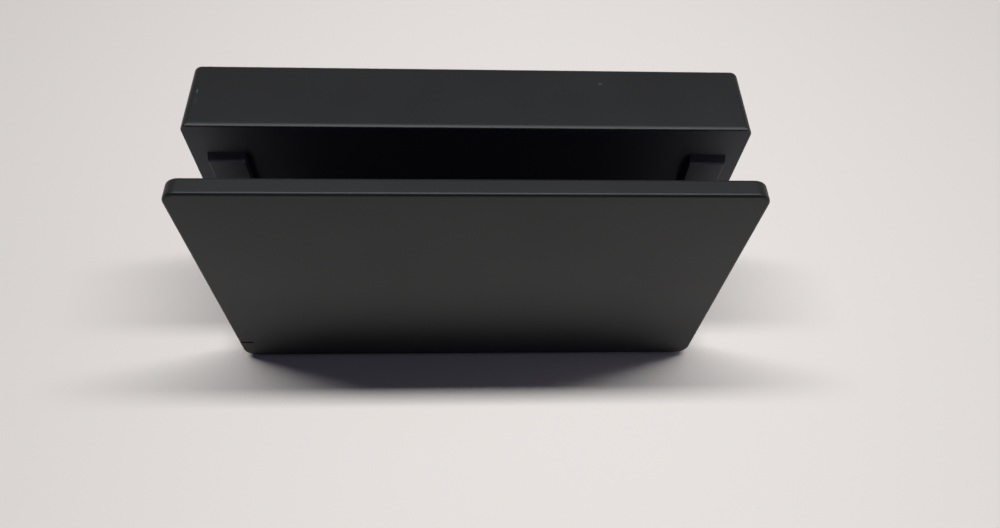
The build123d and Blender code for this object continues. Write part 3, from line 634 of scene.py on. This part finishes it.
PLUG = PlatedMetal("plug_nickel", NICKEL, 0.24, 0.05, stretch=(4000.0, 4000.0, 400.0))
CAN = PlatedMetal("can_tin", (0.6, 0.6, 0.59), 0.36, 0.07, stretch=(500.0, 3000.0, 3000.0))
SPRING = PlatedMetal("spring_steel", (0.5, 0.5, 0.51), 0.3, 0.07, stretch=(500.0, 4000.0, 4000.0))
SCREW = PlatedMetal("screw_blackened", (0.07, 0.07, 0.075), 0.36, 0.08, stretch=(2500.0,) * 3)
GOLD = PlatedMetal("contact_gold", (0.86, 0.6, 0.24), 0.25, 0.05, stretch=(900.0, 3000.0, 3000.0))
CHIP = FilledResin("chip_resin", (0.018, 0.018, 0.019), 0.5, 0.06)
RUBBER = FilledResin(
    "foot_rubber", (0.022, 0.022, 0.024), 0.78, 0.06, 0.03 * MM, grain=0.3 * MM, contrast=1.3
)
CABLE = FlatCableFilm("flat_cable", (0.72, 0.72, 0.7), 0.32, 0.03)


def dress(finish: Finish, *nodes: str) -> None:
    """Give CAD nodes a finish.

    Args:
        finish: The finish.
        nodes: The nodes' names.
    """
    for name in nodes:
        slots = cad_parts[name].data.materials
        slots.clear()
        slots.append(finish.material())
        log.info("%s wears %s", name, finish.title)


@dataclass
class Surface:
    """Points and faces of a shape that is still being put together.

    Attributes:
        points: One row of X, Y and Z for each point.
        faces: Each face as a list of rows in points.
    """

    points: np.ndarray
    faces: list[list[int]]

    @classmethod
    def joined(cls, parts: Iterable["Surface"]) -> "Surface":
        """Put several shapes into one, without merging their points.

        Args:
            parts: The shapes.

        Returns:
            The one shape.
        """
        points: list[np.ndarray] = []
        faces: list[list[int]] = []
        start = 0
        for part in parts:
            points.append(part.points)
            faces += [(np.asarray(face) + start).tolist() for face in part.faces]
            start += len(part.points)
        return cls(np.concatenate(points), faces)

    def placed(self, middle: Point, right: Point, up: Point) -> "Surface":
        """Turn and move the shape.

        Args:
            middle: Where its origin goes.
            right: Where its X axis goes.
            up: Where its Z axis goes.

        Returns:
            The shape in its place.
        """
        turn = np.array([right, np.cross(up, right), up], float)
        return Surface(self.points @ turn + np.array(middle), self.faces)

    def piece(self, name: str, material: Material, crease: float = 30.0) -> bpy.types.Object:
        """Make the shape an object.

        Args:
            name: The object's name.
            material: Its material.
            crease: Angle in degrees above which an edge is sharp.

        Returns:
            The object, linked to the scene.
        """
        mesh = bpy.data.meshes.new(name)
        mesh.from_pydata(self.points.tolist(), [], self.faces)
        mesh.validate()
        mesh.shade_smooth()
        mesh.set_sharp_from_angle(angle=math.radians(crease))
        mesh.materials.append(material)
        made = bpy.data.objects.new(name, mesh)
        bpy.context.scene.collection.objects.link(made)
        log.info("%s has %d faces", name, len(self.faces))
        return made


def grid_faces(rows: int, columns: int, closed: bool) -> list[list[int]]:
    """List the quads of a grid of points that is stored row by row.

    Args:
        rows: Number of rows.
        columns: Number of points in a row.
        closed: Whether each row's last point is joined to its first.

    Returns:
        Four point numbers for each quad.
    """
    across = np.arange(columns if closed else columns - 1)
    low = (np.arange(rows - 1)[:, None] * columns) + across
    right = (np.arange(rows - 1)[:, None] * columns) + (across + 1) % columns
    quads = np.stack([low, right, right + columns, low + columns], axis=-1)
    return quads.reshape(-1, 4).tolist()


@dataclass(frozen=True)
class CrossScrew:
    """A pan head screw with a cross recess and a rolled thread, its head on the plane Z = 0.

    Attributes:
        head_radius: Radius of the head.
        head_tall: Height of the head.
        shank_radius: Radius over the thread.
        root_radius: Radius of the thread's root.
        pitch: Pitch of the thread.
        arm_wide: Half width of a recess arm at the top.
        arm_long: Reach of a recess arm.
        recess_deep: Depth of the recess in its middle.
    """

    # Shares of the head: the radius of its top, the top's fall, and the rings on its side.
    TOP_SHARE, TOP_FALL = 0.86, 0.12
    SIDE = ((0.95, 0.78), (1.0, 0.6), (1.0, 0.08), (0.96, 0.0))
    # Grid lines of the top, as shares of arm_wide, of arm_long and of the top's radius.
    LINES = ((0.0, 0.6, 1.0), (0.62, 1.0), (0.84, 1.0))
    # Share of an arm's half width that its wall takes, and the slope of its end.
    ARM_WALL, ARM_RAMP = 0.4, 1.25
    # Start of the thread and length of its tip in pitches, and the share of radius left there.
    NECK, TIP_LONG, TIP = 0.1, 0.8, 0.55
    RINGS_PER_TURN, LEAST_RINGS = 5, 4
    CREASE = 35.0

    head_radius: float = 2.0 * MM
    head_tall: float = 1.2 * MM
    shank_radius: float = 0.98 * MM
    root_radius: float = 0.74 * MM
    pitch: float = 0.8 * MM
    arm_wide: float = 0.34 * MM
    arm_long: float = 1.15 * MM
    recess_deep: float = 0.75 * MM

    def arm(self, along: np.ndarray, across: np.ndarray) -> np.ndarray:
        """Return an arm's share of the depth: a ramp across it times a ramp along it."""
        wall = (self.arm_wide - np.abs(across)) / (self.ARM_WALL * self.arm_wide)
        ramp = self.ARM_RAMP * (1.0 - np.abs(along) / self.arm_long)
        return np.clip(wall, 0.0, 1.0) * np.clip(ramp, 0.0, 1.0)

    def top(self) -> np.ndarray:
        """Work out the top of the head.

        It is a square grid whose outer lines are bent into a circle: a point moves from its place
        on the square to the same distance along its own direction. Its height is a shallow dome
        less the recess, which is the deeper of two arms.

        Returns:
            Rows and columns of points.
        """
        flat = self.TOP_SHARE * self.head_radius
        scales = (self.arm_wide, self.arm_long, flat)
        line = np.concatenate([np.multiply(*pair) for pair in zip(self.LINES, scales)])
        line = np.concatenate([-line[:0:-1], line])
        u, v = np.meshgrid(line, line)
        reach = np.maximum(np.abs(u), np.abs(v))
        away = np.maximum(np.hypot(u, v), TINY)
        bend = np.clip((reach - self.arm_long) / (flat - self.arm_long), 0.0, 1.0)
        bend = bend * bend * (3.0 - 2.0 * bend)
        pull = 1.0 - bend + bend * reach / away
        dome = self.head_tall * (1.0 - self.TOP_FALL * (reach / flat) ** 2)
        recess = self.recess_deep * np.maximum(self.arm(u, v), self.arm(v, u))
        return np.stack([u * pull, v * pull, dome - recess], axis=-1)

    def rings(self, turn: np.ndarray, long: float) -> np.ndarray:
        """Work out the side of the head, its underside and the thread.

        The thread's radius grows from the root with the square of a triangle wave, which runs with
        the height in pitches less the turn, and it shrinks at the tip.

        Args:
            turn: Angle of each point of a ring.
            long: Length of the shank below the head.

        Returns:
            Rows of points, one ring in each, from the top down.
        """
        head = np.array([*self.SIDE, (0.0, 0.0)]) * (self.head_radius, self.head_tall)
        head[-1, 0] = self.shank_radius
        count = max(self.LEAST_RINGS, int(self.RINGS_PER_TURN * long / self.pitch))
        drop = np.linspace(-self.NECK * self.pitch, -long, count)
        wave = np.abs(2.0 * np.mod(drop[:, None] / self.pitch - turn / (2.0 * np.pi), 1.0) - 1.0)
        crest = self.root_radius + (self.shank_radius - self.root_radius) * wave**2
        fade = np.clip((drop + long) / (self.TIP_LONG * self.pitch), 0.0, 1.0)[:, None]
        crest = crest * (self.TIP + (1.0 - self.TIP) * fade)
        radius = np.concatenate([np.repeat(head[:, :1], len(turn), axis=1), crest])
        level = np.concatenate([head[:, 1], drop])[:, None].repeat(len(turn), axis=1)
        return np.stack([radius * np.cos(turn), radius * np.sin(turn), level], axis=-1)

    def surface(self, long: float) -> Surface:
        """Work out the screw as one closed surface.

        Rings at the angles of the top's rim hang below it, and one face closes the tip.

        Args:
            long: Length of the shank below the head.

        Returns:
            The screw with its axis along Z.
        """
        grid = self.top()
        top = grid.reshape(-1, 3)
        number = np.arange(len(top)).reshape(grid.shape[:2])
        rim = np.concatenate([number[0, :-1], number[:-1, -1], number[-1, :0:-1], number[:0:-1, 0]])
        rings = self.rings(np.arctan2(top[rim, 1], top[rim, 0]), long)
        start, around = len(top), len(rim)
        first = np.arange(around) + start
        faces = grid_faces(*grid.shape[:2], False)
        faces += np.stack([rim, first, np.roll(first, -1), np.roll(rim, -1)], axis=-1).tolist()
        walls = np.array(grid_faces(len(rings), around, True)) + start
        faces += walls[:, ::-1].tolist()
        faces.append((first[::-1] + (len(rings) - 1) * around).tolist())
        return Surface(np.concatenate([top, rings.reshape(-1, 3)]), faces)


@dataclass(frozen=True)
class ContactRow:
    """Sprung contacts that lie side by side on a tongue.

    Attributes:
        count: How many there are.
        pitch: Distance from one to the next.
        wide: Width of one.
        long: Length of one.
        thick: How far one stands out.
        off: How far the face that carries them is from the socket's middle, the way it looks.
    """

    # Grid lines along and across a contact, and the rise at its ends and sides, as shares of it.
    ALONG = (-0.5, -0.46, -0.4, -0.2, 0.2, 0.44, 0.5)
    ACROSS = (-0.5, -0.42, -0.3, 0.3, 0.42, 0.5)
    END_RISE, SIDE_RISE = 0.08, 0.1
    CREASE = 40.0

    count: int
    pitch: float
    wide: float
    long: float
    thick: float
    off: float = 0.0

    def surface(self) -> Surface:
        """Work out the row, its contacts along X, side by side along Y, standing out along Z.

        A contact is a grid along its length and across its width: the height is a flat-topped hump
        across, times a rise at either end, and a flat grid with the same rim closes it below.

        Returns:
            The whole row about its middle.
        """
        a, b = np.meshgrid(self.ALONG, self.ACROSS, indexing="ij")
        hump = np.clip((0.5 - np.abs(b)) / self.SIDE_RISE, 0.0, 1.0)
        hump = hump * np.clip((0.5 - np.abs(a)) / self.END_RISE, 0.0, 1.0)
        top = np.stack([a * self.long, b * self.wide, self.thick * hump], axis=-1)
        under = top[1:-1, 1:-1] * (1.0, 1.0, 0.0)
        rows, columns = a.shape
        number = np.arange(rows * columns).reshape(rows, columns)
        number[1:-1, 1:-1] = rows * columns + np.arange(under[..., 0].size).reshape(under.shape[:2])
        quads = np.array(grid_faces(rows, columns, False))
        faces = np.concatenate([quads[:, ::-1], number.ravel()[quads]]).tolist()
        one = np.concatenate([top.reshape(-1, 3), under.reshape(-1, 3)])
        places = (np.arange(self.count) - (self.count - 1) / 2) * self.pitch
        return Surface.joined(Surface(one + (0.0, place, 0.0), faces) for place in places)


@dataclass(frozen=True)
class PhotoCamera:
    """Camera at the photograph's place.

    Attributes:
        place: Where it stands.
        turns: Turns about X, Y and Z from looking straight down, in degrees.
        focal_pixels: Focal length in pixels of the image's width.
        sensor: Width of the sensor in millimetres.
        clip: Nearest and furthest distance that shows.
    """

    place: Point = (-2.712 * MM, -156.614 * MM, 275.37 * MM)
    turns: Point = (32.0114, -2.371, -1.5504)
    focal_pixels: float = 764.57
    sensor: float = 36.0
    clip: Span = (0.01, 50.0)

    def build(self) -> None:
        """Make the camera and let the scene use it."""
        data = bpy.data.cameras.new("photo_camera")
        data.sensor_fit = "HORIZONTAL"
        data.sensor_width = self.sensor
        data.lens = self.focal_pixels / IMAGE_WIDTH * self.sensor
        data.clip_start, data.clip_end = self.clip
        camera = bpy.data.objects.new("photo_camera", data)
        camera.location = self.place
        camera.rotation_euler = tuple(map(math.radians, self.turns))
        bpy.context.scene.collection.objects.link(camera)
        bpy.context.scene.camera = camera


@dataclass(frozen=True)
class Studio:
    """Pale floor with a painted pool of light, one long overhead strip of light, a weak fill from
    the right and a dim room.

    Attributes:
        floor_colour: Colour of the floor.
        painted_pool_middle: Middle of the pool of light painted on the floor, where it is palest.
        painted_pool_reach: How far from there, to the sides and to the back, the painted light has
            faded.
        painted_pool_edge: Share of its tone that the floor keeps there.
        far_colour: Colour of the backdrop, which the floor turns into away from the dock.
        floor_half: Half size of the floor.
        floor_fade: Distances from the dock between which the floor becomes the backdrop.
        wall_share: How bright the wall behind the dock is, as a share of the backdrop.
        key_rise: Height of the strip above the front panel's top.
        key_lean: How far behind upright the strip is seen from there, in degrees.
        key_aim: The point that the strip faces, with the strip's middle at the same X.
        key_size, key_power: Length and width of the strip, and its power in watts.
        fill_place, fill_aim: Where the fill stands, and the point that it faces.
        fill_size, fill_power: Length and width of the fill, and its power in watts.
        room, room_colour: Brightness and colour of the room's light.
    """

    # Paper: roughness, gloss, scale and detail of its fibres, and the tone of a dark one.
    PAPER_ROUGH, PAPER_GLOSS = 0.7, 0.2
    FIBRE_SCALE, FIBRE_DETAIL, FIBRE_TONE = 900.0, 3.0, 0.985
    FLOOR_LINES = 13
    # Directions of gloss between which backdrop and wall come in: parts upward and to the back.
    BACKDROP_UP, WALL_UP, WALL_BACK = (0.1, 0.05), (0.97, 0.55), (0.1, 0.5)

    floor_colour: Colour = (0.79, 0.75, 0.713)
    painted_pool_middle: Point = (0.028, -0.09, 0.0)
    painted_pool_reach: Span = (0.405, 0.82)
    painted_pool_edge: float = 0.8
    far_colour: Colour = (0.72, 0.685, 0.65)
    floor_half: float = 6.0
    floor_fade: Span = (0.31, 0.62)
    wall_share: float = 0.42
    key_rise: float = 1.3
    key_lean: float = 9.64
    key_aim: Point = (0.06, -0.2, 0.0)
    key_size: Span = (1.75, 0.102)
    key_power: float = 24.2
    fill_place: Point = (0.75, 0.0, 0.5)
    fill_aim: Point = (0.0, 0.0, 0.05)
    fill_size: Span = (0.5, 0.5)
    fill_power: float = 0.5
    room: float = 0.025
    room_colour: Colour = (0.98, 0.96, 1.85)

    def build(self) -> None:
        """Make the floor, the lamps and the world."""
        self.build_floor()
        low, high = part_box("front_panel")
        edge = Vector((self.key_aim[0], low.y, high.z))
        lean = Vector((0.0, math.tan(math.radians(self.key_lean)), 1.0))
        place = edge + self.key_rise * lean
        self.build_lamp("key_strip", place, self.key_aim, self.key_size, self.key_power)
        place = self.fill_place
        self.build_lamp("right_fill", place, self.fill_aim, self.fill_size, self.fill_power)
        self.build_world()

    def seen(self, graph: Graph) -> Socket:
        """Return a mask that is 1 for what the camera, gloss and glass see, and 0 for light."""
        path = graph.add("LightPath").outputs
        bright = graph.sum("MAXIMUM", path["Is Camera Ray"], path["Is Glossy Ray"])
        return graph.sum("MAXIMUM", bright, path["Is Transmission Ray"])

    def paper(self, graph: Graph) -> Socket:
        """Work out the colour of the floor: fine fibres, and a painted pool of light that leaves it
        duller away from the pool's middle.

        Args:
            graph: The floor's nodes.

        Returns:
            The socket with the colour.
        """
        place = graph.place()
        fibre = graph.noise(place, self.FIBRE_SCALE, self.FIBRE_DETAIL)
        tone = graph.blend(fibre, shaded(self.floor_colour, self.FIBRE_TONE), self.floor_colour)
        # Painted light: the floor's colour grows duller away from the pool's middle, standing in
        # for the fall-off of the lamps' light.
        off = graph.vector("SUBTRACT", place, self.painted_pool_middle)
        off = graph.vector("DIVIDE", off, (*self.painted_pool_reach, 1.0))
        pool = graph.step(graph.vector("LENGTH", off), 0.0, 1.0)
        return graph.blend(pool, tone, shaded(self.floor_colour, self.painted_pool_edge))

    def build_floor(self) -> None:
        """Make the floor, a flat grid whose underside is clear so that the dock shows from below.

        Near the dock it is paper in the lamps' light. Further away it turns into the backdrop,
        which shines only for what the camera, gloss and glass see.
        """
        line = np.linspace(-self.floor_half, self.floor_half, self.FLOOR_LINES)
        x, y = np.meshgrid(line, line)
        points = np.stack([x, y, np.zeros_like(x)], axis=-1).reshape(-1, 3)
        material = bpy.data.materials.new("floor_paper")
        graph = Graph.of(material)
        gloss = {"Roughness": self.PAPER_ROUGH, "Specular IOR Level": self.PAPER_GLOSS}
        near = graph.add("BsdfPrincipled", {"Base Color": self.paper(graph), **gloss})
        away = graph.step(graph.vector("LENGTH", graph.place()), *self.floor_fade)
        shown = graph.sum("MULTIPLY", away, self.seen(graph))
        far = graph.add("Emission", {"Color": (*self.far_colour, 1.0), "Strength": 1.0})
        top = graph.add("MixShader", {0: shown, 1: near.outputs[0], 2: far.outputs[0]})
        clear = graph.add("BsdfTransparent")
        under = graph.add("NewGeometry").outputs["Backfacing"]
        mix = graph.add("MixShader", {0: under, 1: top.outputs[0], 2: clear.outputs[0]})
        graph.add("OutputMaterial", {"Surface": mix.outputs[0]})
        faces = grid_faces(self.FLOOR_LINES, self.FLOOR_LINES, False)
        Surface(points, faces).piece("floor", material)

    def build_lamp(self, name: str, place: Point, aim: Point, size: Span, power: float) -> None:
        """Make one rectangular lamp.

        Args:
            name: The lamp's name.
            place: Where it hangs.
            aim: The point that it faces.
            size: Its length and width.
            power: Its power in watts.
        """
        data = bpy.data.lights.new(name, "AREA")
        data.shape = "RECTANGLE"
        data.size, data.size_y = size
        data.energy = power
        lamp = bpy.data.objects.new(name, data)
        lamp.location = place
        away = lamp.location - Vector(aim)
        lamp.rotation_euler = away.to_track_quat("Z", "Y").to_euler()
        bpy.context.scene.collection.objects.link(lamp)

    def build_world(self) -> None:
        """Make the dim room with its pale backdrop.

        The camera sees the backdrop all round. Gloss and glass see it near the horizon, and dimmer
        on the wall behind the dock.
        """
        world = bpy.data.worlds.new("room")
        bpy.context.scene.world = world
        graph = Graph.of(world)
        dim = graph.add("Background", {"Color": (*self.room_colour, 1.0), "Strength": self.room})
        pale = graph.add("Background", {"Color": (*self.far_colour, 1.0), "Strength": 1.0})
        toward = graph.add("SeparateXYZ", {0: graph.add("TexCoord").outputs["Generated"]}).outputs
        low = graph.step(toward["Z"], *self.BACKDROP_UP)
        wall = graph.step(toward["Y"], *self.WALL_BACK)
        wall = graph.sum("MULTIPLY", wall, graph.step(toward["Z"], *self.WALL_UP))
        wall = graph.sum("MULTIPLY", wall, self.wall_share)
        camera = graph.add("LightPath").outputs["Is Camera Ray"]
        shown = graph.sum("MAXIMUM", camera, graph.sum("MAXIMUM", low, wall))
        shown = graph.sum("MULTIPLY", self.seen(graph), shown)
        mix = graph.add("MixShader", {0: shown, 1: dim.outputs[0], 2: pale.outputs[0]})
        graph.add("OutputWorld", {"Surface": mix.outputs[0]})


@dataclass(frozen=True)
class FrontPanel:
    """Front panel with its liner, and the indicator in its lower left corner."""

    def dress(self) -> None:
        """Give the front's nodes their materials."""
        dress(CASE, "front_panel")
        dress(INNER, "front_liner")
        dress(LENS, "light_pipe")
        dress(BOARD, "led_board")
        dress(LAMP, "indicator_led")
        dress(CABLE, "led_lead")


@dataclass(frozen=True)
class RearHousing:
    """Rear body with its back plate and the door on its hinge."""

    def dress(self) -> None:
        """Give the rear's nodes their materials."""
        dress(CASE, "rear_shell", "rear_door")
        dress(INNER, "back_plate")


@dataclass(frozen=True)
class Electronics:
    """Main board with its chips, can, sockets and flat cables.

    Attributes:
        data_row: Contacts of a data socket.
        video_row: Contacts on one side of the video socket's tongue.
        power_row: Contacts on one side of the power socket's tongue.
        inset: How far inside a socket's mouth the contacts start.
    """

    data_row: ContactRow = ContactRow(4, 2.3 * MM, 1.1 * MM, 7.2 * MM, 0.12 * MM, -0.05 * MM)
    video_row: ContactRow = ContactRow(10, 1.0 * MM, 0.5 * MM, 5.6 * MM, 0.1 * MM, 0.6 * MM)
    power_row: ContactRow = ContactRow(12, 0.5 * MM, 0.28 * MM, 4.2 * MM, 0.06 * MM, 0.4 * MM)
    inset: float = 1.3 * MM

    def dress(self) -> None:
        """Give the electronics' nodes their materials."""
        dress(BOARD, "main_board")
        dress(CAN, "shield_can")
        dress(CHIP, "hub_chip", "video_chip")
        dress(CONNECTOR, "ribbon_connector", "lead_connector")
        dress(CABLE, "ribbon_cable")
        dress(SHELL, "data_socket_lower", "data_socket_upper", "data_socket_rear")
        dress(SHELL, "video_socket", "power_socket")

    def build(self) -> None:
        """Make the contacts on the tongues of the five sockets."""
        both = (Axis.Y.value, FRONT)
        for node, row, mouth, sides in (
            ("data_socket_lower", self.data_row, -1.0, (FRONT,)),
            ("data_socket_upper", self.data_row, -1.0, (FRONT,)),
            ("data_socket_rear", self.data_row, 1.0, (FRONT,)),
            ("video_socket", self.video_row, 1.0, both),
            ("power_socket", self.power_row, 1.0, both),
        ):
            low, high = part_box(node)
            middle = (low + high) / 2
            x = (low.x if mouth < 0 else high.x) - mouth * (self.inset + row.long / 2)
            parts = [
                row.surface().placed(
                    (x, middle.y + row.off * up[1], middle.z), (mouth, 0.0, 0.0), up
                )
                for up in sides
            ]
            piece = Surface.joined(parts).piece(node + "_contacts", GOLD.material(), row.CREASE)
            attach(piece, Body.HOUSING.value)


@dataclass(frozen=True)
class SlotAndPlug:
    """Tray and base under the slot, and the tilting plug with its holder, board and springs.

    Attributes:
        plug_row: Contacts on one side of the plug's mouth.
        plug_wall: Thickness of the plug's metal.
        plug_inset: How far below the plug's top the contacts start.
    """

    plug_row: ContactRow = ContactRow(12, 0.48 * MM, 0.26 * MM, 3.4 * MM, 0.06 * MM)
    plug_wall: float = 0.4 * MM
    plug_inset: float = 0.8 * MM

    def dress(self) -> None:
        """Give the slot's nodes their materials."""
        dress(INNER, "base_tray", "base_plate")
        dress(HOLDER, "plug_carrier")
        dress(PLUG, "console_plug")
        dress(PLUG_BOARD, "plug_board")
        dress(CONNECTOR, "plug_connector")
        dress(SPRING, "plug_springs")

    def build(self) -> None:
        """Make the contacts on the two long walls of the plug's mouth."""
        row = self.plug_row
        low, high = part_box("console_plug")
        middle = (low + high) / 2
        half = (high.y - low.y) / 2 - self.plug_wall
        z = high.z - self.plug_inset - row.long / 2
        parts = [
            row.surface().placed(
                (middle.x, middle.y + side * half, z), Axis.Z.value, (0.0, -side, 0.0)
            )
            for side in (-1.0, 1.0)
        ]
        piece = Surface.joined(parts).piece("console_plug_contacts", GOLD.material(), row.CREASE)
        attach(piece, Body.PLUG.value)


@dataclass(frozen=True)
class Fasteners:
    """Screws and feet.

    Attributes:
        screw: The screw that all the joints share.
        case_long, board_long, base_long: Length below the head of a screw of each set.
        case_columns: X and seat of each column of screws in the back plate.
        board_columns, base_columns: X of each column of screws in the main board and the base.
        case_rows, board_rows: Heights of the rows.
        base_seat: Height of the seats in the base.
    """

    screw: CrossScrew = CrossScrew()
    case_long: float = 4.4 * MM
    case_columns: tuple[Span, ...] = (
        (-78 * MM, 21.4 * MM), (20 * MM, 21.4 * MM), (78 * MM, 5 * MM)
    )
    case_rows: Span = (10 * MM, 93 * MM)
    board_long: float = 4.6 * MM
    board_columns: Span = (-66 * MM, 8.6 * MM)
    board_rows: Span = (27 * MM, 77 * MM)
    base_long: float = 6.0 * MM
    base_columns: tuple[float, ...] = (-76 * MM, -26 * MM, 26 * MM, 76 * MM)
    base_seat: float = 2.4 * MM

    def dress(self) -> None:
        """Give the feet and the screws their materials."""
        dress(RUBBER, "rubber_feet")
        dress(SCREW, "case_screws", "board_screws", "tray_screws", "base_screws")

    def build(self) -> None:
        """Make the screws with their recess and thread, in the places of the CAD ones."""
        case = [(x, y, z) for x, y in self.case_columns for z in self.case_rows]
        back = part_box("main_board")[1].y
        board = [(x, back, z) for x in self.board_columns for z in self.board_rows]
        low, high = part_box("base_screws")
        base = [(x, (low.y + high.y) / 2, self.base_seat) for x in self.base_columns]
        for node, out, long, places in (
            ("case_screws", Axis.Y.value, self.case_long, case),
            ("board_screws", Axis.Y.value, self.board_long, board),
            ("base_screws", DOWN, self.base_long, base),
        ):
            one = self.screw.surface(long)
            screws = Surface.joined(one.placed(place, Axis.X.value, out) for place in places)
            piece = screws.piece(node + "_cross", SCREW.material(), self.screw.CREASE)
            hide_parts(node)
            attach(piece, Body.HOUSING.value)


def main() -> None:
    """Build the studio and every sub-assembly in order."""
    logging.basicConfig(level=logging.INFO, format="%(name)s: %(message)s")
    bpy.context.scene.view_settings.view_transform = "Standard"
    PhotoCamera().build()
    Studio().build()
    FrontPanel().dress()
    RearHousing().dress()
    for assembly in (SlotAndPlug(), Electronics(), Fasteners()):
        assembly.dress()
        assembly.build()


if __name__ == "__main__":
    main()
